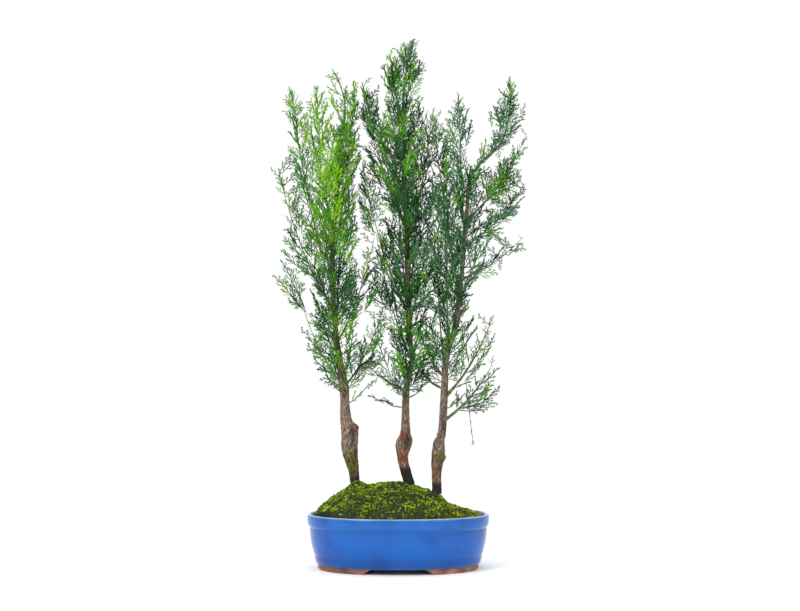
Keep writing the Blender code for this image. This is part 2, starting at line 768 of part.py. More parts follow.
def wire_loop():
    """One closed loop of wire in the YZ plane, round the bough at its top and through the card's hole below."""
    axis = limb_axis("right", LIMBS["right"]["right_foot"], 200)
    bough = min(axis, key=lambda point: abs(point.x - WIRE_HANGS_AT))
    round_bough = BOUGH_DIAMETER / 2 + WIRE_RADIUS + 2 * GAP
    round_card = TAG_THICKNESS / 2 + WIRE_RADIUS + 2 * GAP
    low = TAG_HOLE + UP * (TAG_HOLE_RADIUS * 0.4 + round_card)
    points = []
    for centre, radius, first in ((bough, round_bough, 0), (low, round_card, pi)):
        for step in range(WIRE_STEPS + 1):
            angle = first + pi * step / WIRE_STEPS
            points.append(centre + radius * Vector((0, cos(angle), sin(angle))))
    curve = bpy.data.curves.new("wire_path", "CURVE")
    curve.dimensions = "3D"
    curve.bevel_depth = WIRE_RADIUS
    curve.bevel_resolution = 0
    spline = curve.splines.new("POLY")
    spline.points.add(len(points) - 1)
    spline.use_cyclic_u = True
    for knot, point in zip(spline.points, points):
        knot.co = (*point, 1)
    path = bpy.data.objects.new("wire_path", curve)
    mesh = bmesh.new()
    mesh.from_mesh(path.to_mesh())
    path.to_mesh_clear()
    bpy.data.objects.remove(path)
    bmesh.ops.recalc_face_normals(mesh, faces=mesh.faces)
    return mesh


def main():
    clear_scene()
    make_pot(principled("blue glazed stoneware", "#2C63B4", 0.15))
    clay = principled("bare stoneware clay", "#8F6556", 0.85)
    for side in (-1, 1):
        make_foot(side, clay)
    make_soil(principled("potting soil", "#3A2F27", 0.95))
    make_moss(principled("cushion moss", "#4B5F16", 0.95))
    bark = principled("cypress bark", "#7A6655", 0.85)
    for tree in TRUNKS:
        make_trunk(tree, bark)
    for tree, limbs in LIMBS.items():
        for name, row in limbs.items():
            make_limb(tree, name, row, bark)
        make_leader(tree)
    for owner, (axis, _, radius) in spines.items():
        held.add(owner, pick(axis, 24), np.linspace(radius, STEM_TIP_RADIUS, 24))
    leaves = principled("cypress foliage", "#4F8A38", 0.7)
    for owner in spines:
        make_foliage(owner, leaves)
    make_tag(principled("white card", "#F6F6F4", 0.6), principled("dark wire", "#1C1A18", 0.5, 0.6))


main()
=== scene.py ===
"""The look of a cypress bonsai: three young cypresses in mounded moss, in an oval glazed pot on clay feet.

Metres, +Z up, +X to the right and +Y to the back, in the model's own frame.
"""

import random
from functools import partial
from math import acos, atan2, copysign, cos, exp, pi, radians, sin, tau

import bmesh
import bpy
import numpy as np
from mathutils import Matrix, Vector, noise
from numpy.linalg import norm


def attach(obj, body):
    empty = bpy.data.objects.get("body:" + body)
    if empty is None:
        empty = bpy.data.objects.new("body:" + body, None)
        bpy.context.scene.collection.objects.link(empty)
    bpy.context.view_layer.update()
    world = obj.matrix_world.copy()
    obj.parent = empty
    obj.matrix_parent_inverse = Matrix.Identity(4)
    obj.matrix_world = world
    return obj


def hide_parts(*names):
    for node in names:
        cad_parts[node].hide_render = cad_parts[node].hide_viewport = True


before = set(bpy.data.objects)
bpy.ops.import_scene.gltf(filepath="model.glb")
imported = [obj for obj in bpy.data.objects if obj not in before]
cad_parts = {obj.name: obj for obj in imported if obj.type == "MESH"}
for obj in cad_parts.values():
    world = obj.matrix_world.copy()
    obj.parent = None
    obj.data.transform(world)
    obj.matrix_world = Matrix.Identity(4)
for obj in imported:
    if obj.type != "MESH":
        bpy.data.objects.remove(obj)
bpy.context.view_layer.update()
scene = bpy.context.scene

SEED = 11
RIGHT, BACK, UP = np.eye(3)
GOLDEN_ANGLE = radians(137.5)
SEAM = 1e-6  # points this near are one


def in_metres(rows):
    """A table in millimetres, as an array in metres."""
    return np.round(np.array(rows) / 1000, 6)


# ---- sizes shared with the solids

POT_HALF_LENGTH = 0.150
POT_SLIMNESS = 0.0325
POT_SQUARENESS = 2.2
POT_UNDERSIDE = 0.0085
POT_WALL = 0.007
POT_FLOOR = 0.0165
POT_INNER_CORNER = 0.004
POT_CENTRE = 0.001  # where its section closes, which is drawn as one point
# From the underside up and over the lip: inset from the half-length, and height
POT_OUTLINE = in_metres((
    (16.5, 8.5), (14, 12.5), (12.2, 19.5), (12.4, 21), (9.5, 30), (6.2, 42), (4.2, 56), (3.6, 65),
    (3.8, 67.5), (2.2, 70), (0.5, 73.5), (0, 81), (0.6, 86.5), (2.2, 88.5), (5, 88.5), (6.6, 86.8),
))
FOOT_INSET = 0.0185
FOOT_WIDTH = 0.016
FOOT_GAP_TOP = 0.043
FOOT_GAP_BOTTOM = 0.058
SOIL_TOP = 0.0830
SOIL_DEPTH = 0.03
SOIL_GRAINS = 520
MOSS_EDGE_HEIGHT = 0.0905
MOSS_EDGE_INSET = 0.0070
MOSS_ROUNDNESS = 2.2
MOSS_SINK = 0.0024  # room for lumps and tufts above it
MOSS_TURNS_UNDER = 0.97  # the share of its reach where its edge turns under
MOSS_TUFTS, MOSS_TUFT_KINDS, LEAVES_IN_TUFT = 4600, 8, 7
# Along X, the height of the mound's crest
MOSS_RIDGE = in_metres((
    (-143, 90.5), (-114, 112), (-76, 137.5), (0, 140.5), (50, 130.5), (86, 107.5), (143, 89.5),
))
# Trunks from the moss up, in mm: height, x, y, diameter
TRUNKS = {
    "left": (
        (134, -71.2, 6, 16), (156, -73.7, 6, 17.8), (188, -80, 7, 26.2), (229, -81.8, 8, 26.8),
        (243, -86.8, 8, 19), (271, -88.8, 7, 15.2), (296, -90.2, 6, 16.5), (329, -96, 5, 12.5),
        (390, -104.5, 4, 9.5), (496, -111, 4, 7.8), (588, -105.5, 6, 6.2), (665, -98.5, 8, 5),
        (715, -100, 8, 4),
    ),
    "middle": (
        (137, 18, 10, 17.5), (160, 11.8, 10, 17.6), (180, 7.4, 11, 18.8), (204, 10, 12, 26.8),
        (224, 12, 12, 15.8), (266, 12.2, 12, 12.2), (305, 15.2, 12, 10), (346, 23.5, 13, 9),
        (385, 18.5, 14, 9.2), (470, 16.4, 14, 9.8), (580, 14, 13, 8.2), (690, 8.5, 12, 6.6),
        (772, 8.5, 12, 4.6),
    ),
    "right": (
        (127, 63.5, -14, 16.2), (156, 62.8, -14, 16.2), (188, 66, -14, 21.2), (208, 67.4, -13, 17.4),
        (224, 72.6, -12, 13.6), (296, 76.4, -10, 11.8), (346, 80.5, -8, 9.2), (405, 96.2, -6, 9.6),
        (496, 106.8, -6, 7.6), (588, 114.8, -6, 6.4), (638, 118.5, -6, 6), (668, 136, -5, 5.6),
        (698, 168, -4, 4),
    ),
}
# Limbs: the height it leaves its trunk at, the way it goes in degrees, its reach, its tip's height, its
# foliage's spread, its bare share, how close its twigs stand, how far out on its outer side they may reach
LIMBS = {
    "left": {
        "left_leader": (0.46, 184, 0.071, 0.802, 0.03, 0.2, 1.1, 1),
        "left_middle": (0.425, 176, 0.095, 0.662, 0.036, 0.2, 1.2, 0.6),
        "left_arm": (0.372, 186, 0.094, 0.492, 0.03, 0.2, 0.7, 0.25),
        "left_skirt": (0.296, 200, 0.074, 0.436, 0.034, 0.2, 0.9, 0.4),
        "right_leader": (0.5, -12, 0.04, 0.812, 0.028, 0.2, 1.6, 1),
        "right_middle": (0.37, 12, 0.064, 0.552, 0.034, 0.2, 1.5, 1),
        "right_skirt": (0.296, -8, 0.066, 0.428, 0.034, 0.2, 1.9, 1),
        "front": (0.38, -118, 0.066, 0.795, 0.036, 0, 1.7, 1),
        "back": (0.39, 80, 0.06, 0.78, 0.036, 0, 1, 1),
    },
    "middle": {
        "left_leader": (0.56, 182, 0.074, 0.809, 0.03, 0.2, 1.9, 1),
        "left_middle": (0.42, 192, 0.079, 0.668, 0.034, 0.2, 1.8, 1),
        "left_arm": (0.34, 172, 0.062, 0.562, 0.03, 0.2, 1, 1),
        "left_skirt": (0.29, 188, 0.068, 0.336, 0.032, 0.25, 1.5, 1),
        "right_leader": (0.54, 2, 0.044, 0.765, 0.03, 0.2, 1.4, 1),
        "right_middle": (0.4, -14, 0.04, 0.61, 0.03, 0.2, 1, 1),
        "front": (0.37, -125, 0.056, 0.845, 0.036, 0, 1.9, 1),
        "back": (0.4, 70, 0.054, 0.8, 0.036, 0, 1, 1),
        "front_skirt": (0.29, -70, 0.05, 0.4, 0.034, 0, 1.9, 1),
    },
    "right": {
        "right_crest": (0.575, -6, 0.101, 0.718, 0.032, 0.2, 2, 0.6),
        "right_upper": (0.53, 6, 0.102, 0.636, 0.031, 0.2, 2.4, 0.6),
        "right_arm": (0.475, -6, 0.104, 0.546, 0.028, 0.2, 0.9, 1),
        "right_low": (0.278, 8, 0.084, 0.416, 0.032, 0.25, 1, 0.7),
        "right_foot": (0.24, -8, 0.08, 0.33, 0.034, 0.42, 1.7, 1),
        "left_leader": (0.318, 196, 0.022, 0.64, 0.032, 0, 1, 1),
        "inner_leader": (0.54, 200, 0.01, 0.787, 0.028, 0, 1.2, 1),
        "left_upper": (0.45, 170, 0.042, 0.755, 0.028, 0.2, 1.3, 1),
        "front": (0.35, -92, 0.056, 0.68, 0.038, 0, 1, 1),
        "back": (0.36, 96, 0.056, 0.7, 0.04, 0, 1, 1),
    },
}
# Leaders: tip, spread, how far the bend stands to the right of where the trunk
# points, and the last two as above
LEADERS = {
    "left": ((-0.112, 0.004, 0.834), 0.034, 0.028, 1, 1),
    "middle": ((0.026, 0.008, 0.887), 0.04, 0, 2.2, 0.4),
    "right": ((0.188, -0.004, 0.82), 0.028, -0.016, 2, 1),
}
TRUNK_SINK = 0.006  # how far a trunk goes on into the moss
TRUNK_RINGS, TRUNK_SIDES = 480, 44
BOUGH_DIAMETER = 0.0062
THIN_BOUGH = 0.62  # the share of that which the upper limbs have
BOUGH_POINTS, LEADER_POINTS = 40, 41
HIDDEN_STEM_RADIUS = 0.0019  # of limbs that have no bare part
MASS_POINTS = 61  # along the stem of each mass
LOW_BOUGH = 0.292  # limbs that leave lower than this are thick and olive
LIMB_STEEPNESS = 0.62
LIMB_LIFT = 0.36
LEADER_ELBOW = 0.45
CROWN_LEFT = -0.214
CROWN_RIGHT = 0.214
CROWN_HALF_DEPTH = 0.104
CROWN_TOP = 0.887
TIP_MARGIN = 0.005
LEAST_OUTWARD = 0.03
OUTSIDE = 0.024
LEAST_SLIM = 0.6
MASS_REACH = 1.45
TWIG_LEAN = 0.85
TWIG_RISE = 0.60
TWIG_BEND = 0.45
TWIG_REACH = 1.9
TWIG_LONGEST = 0.098
FOLIAGE_FOOT = 0.50
FOLIAGE_SWELL = 0.75
FOLIAGE_TAPER = 0.35
TAG_HOLE = Vector((0.1225, -0.021, 0.2050))
TAG_WIDTH = 0.070
TAG_DROP = 0.058
TAG_THICKNESS = 0.0012
TAG_CORNER = 0.008
TAG_HOLE_RADIUS = 0.0024
WIRE_RADIUS = 0.00042
WIRE_POINTS = 96
WIRE_HANGS_AT = 0.1150

# ---- sizes of the finer growth

TWIG_SPACING = 0.0120
TWIG_RADIUS = 0.0009
SPRAY_LENGTH = 0.072
SPRAY_KINDS = 10
SPRAY_SPACING = 0.0180
SMALL_SPRAY = 0.038  # below this length a spray has fewer branchlets
CREST_SLOPE = 1.7  # how steeply foliage falls off from a stem's tip
BROADER_CRESTS = {"middle_leader": 0.8, "middle_front": 0.9, "middle_left_leader": 1}
LEFT_EDGE = -0.150  # the left tree's sprays are darker beyond this
SHADED_SIDE = 0.018  # beyond this far back most sprays are deep green, as painted shade
SHORTER_TRIES = (1.0, 0.8, 0.62, 0.46)
SPRAY_LEAN = 0.60
SPRAY_RISE = 0.45
SPACE_SHARED = 0.20  # how far a spray may lean into its neighbours' space, in spreads
# How close twigs stand: heights, and at each of them how many stand in one TWIG_SPACING
FULLNESS = (0.28, 0.32, 0.38, 0.52, 0.66, 0.76, 0.82), (1.5, 1.0, 0.85, 1.0, 1.2, 1.3, 1.1)
# Where single sprays end on the crown's outline, in mm: mass -> x and z of one tip after another
TIPS = {
    "left_leader": (-112.4, 834.7, -89, 796.2, -77.3, 786.2),
    "left_left_leader": (-192.2, 781.7, -192.2, 761.7),
    "left_front": (-138.6, 787.6, -150, 766.4),
    "left_right_leader": (
        -70.3, 766, -62, 752.7, -62, 734.3, -65.3, 711, -60.3, 684.4, -67, 807.6, -58.6, 759.3,
    ),
    "left_left_middle": (
        -174.8, 678.7, -169.7, 658.6, -166.4, 636.8, -164.7, 616.6, -215, 665.3, -179.8, 687.1,
        -205, 633.4, -192.8, 547.9, -196, 526,
    ),
    "left_left_arm": (-190.1, 509.3, -178.5, 496, -203.4, 486, -196.8, 476, -165.1, 436.1),
    "left_left_skirt": (-160.8, 393.7, -152.5, 367.3, -140.9, 345.8),
    "left_right_middle": (-62.6, 641.2, -60.9, 614.3, -60.9, 584, -62.6, 555.4, -40.7, 536.9, -34, 501.6),
    "left_right_skirt": (
        -43.7, 444.6, -50.3, 424.6, -30.3, 427.9, -33.7, 411.2, -47, 394.6, -28.7, 404.6, -37, 364.6,
        -42, 339.6, -58.7, 316.2,
    ),
    "middle_leader": (-7, 870.8, 6.4, 879.2, 48.2, 840.7, 43.2, 780.4),
    "middle_front": (-23.3, 830.5),
    "middle_left_leader": (-30.5, 802.8, -35.6, 784.3, -45.6, 819.5, -54, 794.4),
    "middle_left_middle": (-37, 646.3, -33.7, 623, -30.3, 601.3, -60.3, 646.3, -57, 681.3, -62, 591.3),
    "middle_left_arm": (-44.2, 562.6, -42.5, 507),
    "middle_left_skirt": (-48.8, 318, -52.1, 296.3, -32.1, 328, -23.7, 344.7),
    "right_leader": (
        186.3, 709.4, 152.9, 686.1, 147.9, 702.7, 164.6, 712.7, 177.9, 694.4, 167.9, 676.1, 169.6, 797.7,
        201.3, 766, 154.6, 756,
    ),
    "right_right_crest": (205.1, 728.5, 216.7, 713.6),
    "right_right_upper": (
        150.2, 660.9, 163.6, 647.5, 146.8, 635.8, 192, 644.2, 180.3, 655.9, 198.7, 657.5, 153.5, 620.7,
        168.6, 630.8, 183.6, 619.1, 146.8, 597.3, 213.7, 635.8, 202, 604,
    ),
    "right_right_arm": (
        150.4, 557.8, 163.7, 551.2, 175.2, 542.9, 145.4, 533, 208.4, 534.6, 200.1, 547.9, 171.9, 499.9,
        168.6, 489.9,
    ),
    "right_right_low": (160, 404.8, 133.3, 418.2, 151.6, 378.1, 139, 395),
    "right_right_foot": (171.5, 292.8, 161.6, 273, 166.5, 327.5, 156.6, 347.3),
    "right_inner_leader": (92.7, 776.5, 111, 783.1),
    "right_left_upper": (73.1, 760.5, 58.1, 747.1),
    "middle_right_leader": (53.4, 703, 58.5, 682.8, 55.1, 661),
}
TIP_SPRAY = 0.042
SIDE_SPRAY_SPACING = 0.016
# How much of a limb is drawn where single sprays take over from it
CUT_SHORT = {"left_left_arm": 0.5}
# Gaps through the crown and bays in its outline, in mm: x and z of the middle, half-width, half-height
SKY = in_metres((
    (-43.7, 551.6, 13.4, 20), (3, 566.6, 5, 20), (3, 421.4, 5, 11.7), (-25.4, 364.7, 13.4, 13.4),
    (126.5, 691.8, 11.7, 28.4), (189.9, 570, 15, 10), (138.2, 449.8, 18.4, 33.4), (-55.4, 713.5, 5, 23.4),
    (-180.6, 433.1, 35, 41.7), (-193.9, 601.7, 10, 16.7), (211.6, 675.1, 13.4, 11.7),
    (226.7, 591.7, 16.7, 20), (59.8, 863.7, 26.7, 25), (59.8, 807, 28.4, 25),
))
TIP_STEEPNESS = 0.8
# Twigs straight from each trunk: lowest height, spread, spacing
INNER_GROWTH = {
    "left": (0.276, 0.028, 0.0085),
    "middle": (0.272, 0.034, 0.0075),
    "right": (0.3, 0.026, 0.008),
}
# Odd twigs low on the trunks: height, turn in degrees, length, rise, radius
TWIGLETS = {
    "left": (
        (0.268, -20, 0.022, 0.01, 0.0011), (0.284, -160, 0.026, 0.024, 0.0011),
    ),
    "middle": (
        (0.262, 186, 0.034, 0.006, 0.0012), (0.276, -10, 0.03, 0.02, 0.0012),
        (0.27, -110, 0.024, 0.024, 0.0011),
    ),
    "right": (
        (0.26, -14, 0.018, 0.006, 0.001), (0.292, 188, 0.036, 0.026, 0.0024),
        (0.31, 160, 0.03, 0.044, 0.002), (0.31, -60, 0.03, 0.024, 0.0012),
    ),
}

LIME, FRESH, MID, BLUE, DEEP = range(5)  # greens of the sprays
BARK_TINTS = {"peel": "#F6A278", "moss": "#B9CC3C", "damp": "#4A403C"}

chance = random.Random(SEED)
between = chance.uniform
dice = np.random.default_rng(SEED)


# ---- materials


def linear(colour):
    """An sRGB hex colour as linear red, green, blue and alpha."""
    channels = [int(colour[i : i + 2], 16) / 255 for i in (1, 3, 5)]
    return [c / 12.92 if c <= 0.04045 else ((c + 0.055) / 1.055) ** 2.4 for c in channels] + [1.0]


def new_material(name, colour, **shader_values):
    """A material with its node tree, its shader and the place on its object, for textures to read."""
    material = bpy.data.materials.new(name)
    material.use_nodes = True
    material.diffuse_color = linear(colour)
    tree = material.node_tree
    shader = tree.nodes["Principled BSDF"]
    shader.inputs["Base Color"].default_value = linear(colour)
    for socket, value in shader_values.items():
        shader.inputs[socket.replace("_", " ")].default_value = value
    return material, tree, shader, add(tree, "TexCoord").outputs["Object"]


def add(tree, kind, inputs=None, **settings):
    """Adds a node with its settings. An input is a value, or a socket that it is linked to."""
    node = tree.nodes.new("ShaderNode" + kind)
    for name, value in settings.items():
        setattr(node, name, value)
    for name, value in (inputs or {}).items():
        if isinstance(value, bpy.types.NodeSocket):
            tree.links.new(value, node.inputs[name])
        else:
            node.inputs[name].default_value = value
    return node


def ramp(tree, value, stops):
    """A colour ramp over a value, from (position, hex colour) stops."""
    node = add(tree, "ValToRGB", {"Fac": value})
    elements = node.color_ramp.elements
    while len(elements) < len(stops):
        elements.new(0.5)
    for element, (position, colour) in zip(elements, stops):
        element.position = position
        element.color = linear(colour)
    return node.outputs["Color"]


def multiplied(tree, share, below, above):
    """One colour darkened by another, by a share."""
    inputs = {"Factor": share, "A": below, "B": above}
    return add(tree, "Mix", inputs, data_type="RGBA", blend_type="MULTIPLY").outputs["Result"]


def grain(tree, place, scale, detail, **more):
    """Noise over a place, as one value."""
    inputs = {"Vector": place, "Scale": scale, "Detail": detail, **more}
    return add(tree, "TexNoise", inputs).outputs["Fac"]


def paint(tree, shader, colour):
    tree.links.new(colour, shader.inputs["Base Color"])


def bump(tree, shader, height, distance, strength=1.0):
    node = add(tree, "Bump", {"Height": height, "Distance": distance, "Strength": strength})
    tree.links.new(node.outputs["Normal"], shader.inputs["Normal"])


def leaf_material(name, colour, tip):
    """Scale leaves pressed along a cord: waxy and soft, a little lighter where noise falls on them."""
    material, tree, shader, place = new_material(name, colour, Roughness=0.6, Specular_IOR_Level=0.18)
    paint(tree, shader, ramp(tree, grain(tree, place, 160.0, 2.0), ((0.38, colour), (0.66, tip))))
    return material


def glaze_material():
    """Cobalt glaze, fired glossy on stoneware: painted shade darkens it in its grooves and low down, and
    its lip's edge goes pale, partly the glaze breaking there and partly a painted highlight.
    """
    material, tree, shader, place = new_material(
        "cobalt glaze on stoneware", "#1258A8", Roughness=0.12, Specular_IOR_Level=0.32
    )
    height = add(tree, "SeparateXYZ", {"Vector": place}).outputs["Z"]
    wander = {"Value": grain(tree, place, 60.0, 3.0), "To Min": -0.0006, "To Max": 0.0006}
    shift = add(tree, "MapRange", wander).outputs["Result"]
    level = add(tree, "Math", {0: height, 1: shift}, operation="ADD").outputs["Value"]
    share = add(tree, "MapRange", {"Value": level, "From Max": 0.090}).outputs["Result"]
    # Up the pot: bare clay at the foot, painted shade in the grooves and on the lower wall, and lighter
    # towards the lip, pale over its edge, partly the glaze breaking and partly a painted highlight.
    glaze_bands_and_painted_light = (
        (0.088, "#6A5A50"), (0.100, "#3A6296"), (0.125, "#0A54A2"), (0.220, "#084F9C"),
        (0.300, "#075CB0"), (0.520, "#075EB4"), (0.735, "#0858AA"), (0.800, "#1462B2"),
        (0.930, "#125EAE"), (0.966, "#2C6CB6"), (0.982, "#B4B9BE"), (0.995, "#5E88C0"),
    )
    cloud = ((0.32, "#A9B7D4"), (0.50, "#E4E8F0"), (0.70, "#FFFFFF"))
    tone = ramp(tree, grain(tree, place, 22.0, 4.0), cloud)
    paint(tree, shader, multiplied(tree, 0.75, ramp(tree, share, glaze_bands_and_painted_light), tone))
    bump(tree, shader, grain(tree, place, 90.0, 1.0), 0.0003, 0.25)
    return material


def clay_material():
    """Bare fired stoneware clay: rough and reddish brown, with dark iron specks and stained patches."""
    material, tree, shader, place = new_material("bare stoneware clay", "#9A6A52", Roughness=0.85)
    stain = ((0.30, "#5C4236"), (0.52, "#94634B"), (0.75, "#B98A6C"))
    base = ramp(tree, grain(tree, place, 45.0, 4.0), stain)
    speck = grain(tree, place, 900.0, 1.0)
    dots = ramp(tree, speck, ((0.60, "#FFFFFF"), (0.68, "#5A453A")))
    paint(tree, shader, multiplied(tree, 0.8, base, dots))
    bump(tree, shader, speck, 0.0003, 0.6)
    return material


def bark_material():
    """Young cypress bark: thin grey-brown strips, reddish where it peels, mossy green, black where damp."""
    material, tree, shader, place = new_material("peeling cypress bark", "#8A7766", Roughness=0.85)
    upright = add(tree, "Mapping", {"Vector": place, "Scale": (1.0, 1.0, 0.35)}).outputs["Vector"]
    strips = grain(tree, upright, 430.0, 6.0, Roughness=0.72)
    browns = ((0.32, "#1E1611"), (0.44, "#5C4B3F"), (0.54, "#877668"), (0.68, "#B3A292"))
    shades = ((0.34, "#8F8A86"), (0.52, "#F2EEEA"), (0.66, "#FFFFFF"))
    plates = ramp(tree, grain(tree, upright, 130.0, 3.0), shades)
    colour = multiplied(tree, 1.0, ramp(tree, strips, browns), plates)
    broken = grain(tree, place, 210.0, 4.0, Roughness=0.65)
    for kind, tint in BARK_TINTS.items():
        amount = add(tree, "Attribute", attribute_name=kind).outputs["Fac"]
        edge = add(tree, "Math", {0: amount, 1: broken}, operation="ADD").outputs["Value"]
        share = add(tree, "MapRange", {"Value": edge, "From Min": 0.68, "From Max": 1.18})
        colour = multiplied(tree, share.outputs["Result"], colour, linear(tint))
    paint(tree, shader, colour)
    bump(tree, shader, strips, 0.0008, 0.8)
    return material


def plain_material(name, colours, scale, roughness, relief=0.0002):
    """A dry, mottled natural surface of a few colours."""
    material, tree, shader, place = new_material(name, colours[1], Roughness=roughness)
    mottle = grain(tree, place, scale, 4.0)
    stops = [(0.3 + 0.4 * i / (len(colours) - 1), colour) for i, colour in enumerate(colours)]
    paint(tree, shader, ramp(tree, mottle, stops))
    bump(tree, shader, mottle, relief, 0.5)
    return material


# ---- shapes


def finish_object(name, mesh, materials, slot, replaces=(), smooth=True):
    """Makes a piece of a bmesh: doubles merged, normals outward."""
    bmesh.ops.remove_doubles(mesh, verts=mesh.verts, dist=SEAM)
    bmesh.ops.recalc_face_normals(mesh, faces=mesh.faces)
    data = bpy.data.meshes.new(name)
    mesh.to_mesh(data)
    mesh.free()
    return finish_data(name, data, materials, replaces, smooth)


def finish_data(name, data, materials, replaces, smooth=True):
    """Puts a piece in the scene, and tells the frame its body and the solids that it replaces."""
    for material in materials:
        data.materials.append(material)
    if smooth:
        data.shade_smooth()
    piece = bpy.data.objects.new(name, data)
    scene.collection.objects.link(piece)
    if replaces:
        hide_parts(*replaces)
    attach(piece, "root")
    return piece


def wrapped_grid(around, along, place):
    """A grid wrapped round: each vertex goes to place(turn, share along), which both run from 0 to 1."""
    mesh = bmesh.new()
    bmesh.ops.create_grid(mesh, x_segments=around, y_segments=along, size=0.5)
    for vert in mesh.verts:
        vert.co = place(vert.co.x + 0.5, vert.co.y + 0.5)
    bmesh.ops.remove_doubles(mesh, verts=mesh.verts, dist=SEAM)
    return mesh, [edge for edge in mesh.edges if edge.is_boundary]


def grid_piece(name, around, along, place, *finish):
    """A closed piece from a wrapped grid, with any holes at its ends filled."""
    mesh, rim = wrapped_grid(around, along, place)
    if rim:
        bmesh.ops.holes_fill(mesh, edges=rim)
    return finish_object(name, mesh, *finish)


def array_object(name, shapes, picks, materials, replaces=()):
    """A piece of many small shapes, each of points and triangles, with each one's pick of a material."""
    points, faces = joined(shapes)
    picks = np.concatenate([np.broadcast_to(pick, len(faces)) for (_, faces), pick in zip(shapes, picks)])
    data = bpy.data.meshes.new(name)
    data.vertices.add(len(points))
    data.vertices.foreach_set("co", np.asarray(points, np.float32).ravel())
    data.loops.add(faces.size)
    data.loops.foreach_set("vertex_index", faces.ravel().astype(np.int32))
    data.polygons.add(len(faces))
    data.polygons.foreach_set("loop_start", np.arange(0, faces.size, 3, dtype=np.int32))
    data.update(calc_edges=True)
    data.polygons.foreach_set("material_index", picks.astype(np.int32))
    return finish_data(name, data, materials, replaces)


def smooth_rows(rows, steps):
    """Rows on a smooth curve through the given rows, in `steps` stretches between neighbours."""
    rows = np.array(rows, float)
    ends = np.vstack((2 * rows[0] - rows[1], rows, 2 * rows[-1] - rows[-2]))
    smooth = []
    for before, start, end, after in zip(ends, ends[1:], ends[2:], ends[3:]):
        for t in np.arange(steps) / steps:
            bend = (2 * before - 5 * start + 4 * end - after) * t**2
            twist = (3 * start - before - 3 * end + after) * t**3
            smooth.append((2 * start + (end - before) * t + bend + twist) / 2)
    return np.array(smooth + [rows[-1]])


def ripple(x, y, z, scale=1):
    """Smooth noise from about -1 to 1 at a place."""
    return noise.noise(Vector((x, y, z)) * scale)


def unit(vector):
    return vector / norm(vector)


def turned(vector, axis, angle):
    """A vector turned about a unit axis."""
    c, s = cos(angle), sin(angle)
    return vector * c + np.cross(axis, vector) * s + axis * (axis @ vector) * (1 - c)


def across(vector):
    """A unit vector at a right angle to this one."""
    return unit(np.cross(vector, RIGHT if abs(vector[0]) < 0.6 else BACK))


def heading(turn):
    """A level unit vector, by its turn in degrees from +X towards +Y."""
    return np.array((cos(radians(turn)), sin(radians(turn)), 0.0))


def cord(points, radii, sides=3, normal=UP):
    """Points and triangles of a thin closed cord along a polyline, with a pole at each end."""
    points = np.array(points, float)
    count = len(points)
    made = [points[0]]
    for index in range(1, count - 1):
        tangent = unit(points[index + 1] - points[index - 1])
        side = np.cross(normal, tangent)
        side = unit(side) if norm(side) > 1e-3 else across(tangent)
        lift = np.cross(tangent, side)
        for k in range(sides):
            angle = tau * (k + 0.25) / sides
            made.append(points[index] + radii[index] * (cos(angle) * side + sin(angle) * lift))
    made.append(points[-1])
    faces = []
    last = 1 + sides * (count - 3)
    for k in range(sides):
        onward = (k + 1) % sides
        faces.append((0, 1 + onward, 1 + k))
        faces.append((len(made) - 1, last + k, last + onward))
        for low in range(1, last, sides):
            faces.append((low + k, low + onward, low + sides + onward))
            faces.append((low + k, low + sides + onward, low + sides + k))
    return np.array(made), np.array(faces)


def joined(shapes):
    """One array of points and one of faces from many (points, faces)."""
    offsets = np.cumsum([0] + [len(points) for points, _ in shapes])
    points = np.concatenate([points for points, _ in shapes])
    faces = np.concatenate([faces + offset for (_, faces), offset in zip(shapes, offsets)])
    return points, faces


# ---- pot, feet, soil and moss


def oval(half_length, angle):
    """A point of the pot's oval plan, as (x, y)."""
    power = 2 / POT_SQUARENESS
    c, s = cos(angle), sin(angle)
    half_depth = half_length - POT_SLIMNESS
    return half_length * copysign(abs(c) ** power, c), half_depth * copysign(abs(s) ** power, s)


def resampled(rows, count):
    """Rows spaced evenly along a polyline."""
    rows = np.array(rows, float)
    lengths = np.concatenate(([0], np.cumsum(norm(np.diff(rows, axis=0), axis=1))))
    places = np.linspace(0, lengths[-1], count)
    return np.column_stack([np.interp(places, lengths, rows[:, i]) for i in range(rows.shape[1])])


def make_pot(glaze):
    """The pot's section, thrown round the oval: wall, lip, inside and floor."""
    inner_foot = POT_HALF_LENGTH - POT_OUTLINE[4][0] - POT_WALL
    corner = inner_foot - POT_INNER_CORNER
    rows = np.array((
        (POT_CENTRE, POT_UNDERSIDE),
        (POT_HALF_LENGTH - 0.024, POT_UNDERSIDE),
        *smooth_rows([(POT_HALF_LENGTH - inset, height) for inset, height in POT_OUTLINE], 5),
        (POT_HALF_LENGTH - POT_OUTLINE[-1][0] - 0.0004, POT_OUTLINE[11][1] + 0.0010),
        (POT_HALF_LENGTH - POT_OUTLINE[6][0] - POT_WALL, POT_OUTLINE[6][1]),
        (inner_foot, POT_OUTLINE[4][1]),
        (corner, POT_FLOOR + POT_INNER_CORNER),
        (corner - POT_INNER_CORNER, POT_FLOOR),
        (POT_CENTRE, POT_FLOOR),
    ))

    def place(turn, share):
        half_length, height = rows[round(share * (len(rows) - 1))]
        if half_length <= POT_CENTRE:
            return Vector((0, 0, height))
        wobble = 0.00035 * ripple(cos(tau * turn) * 3, sin(tau * turn) * 3, height * 30)
        return Vector((*oval(half_length + wobble, tau * turn), height))

    grid_piece("pot_glazed", 192, len(rows) - 1, place, [glaze], "glaze", ["pot"])


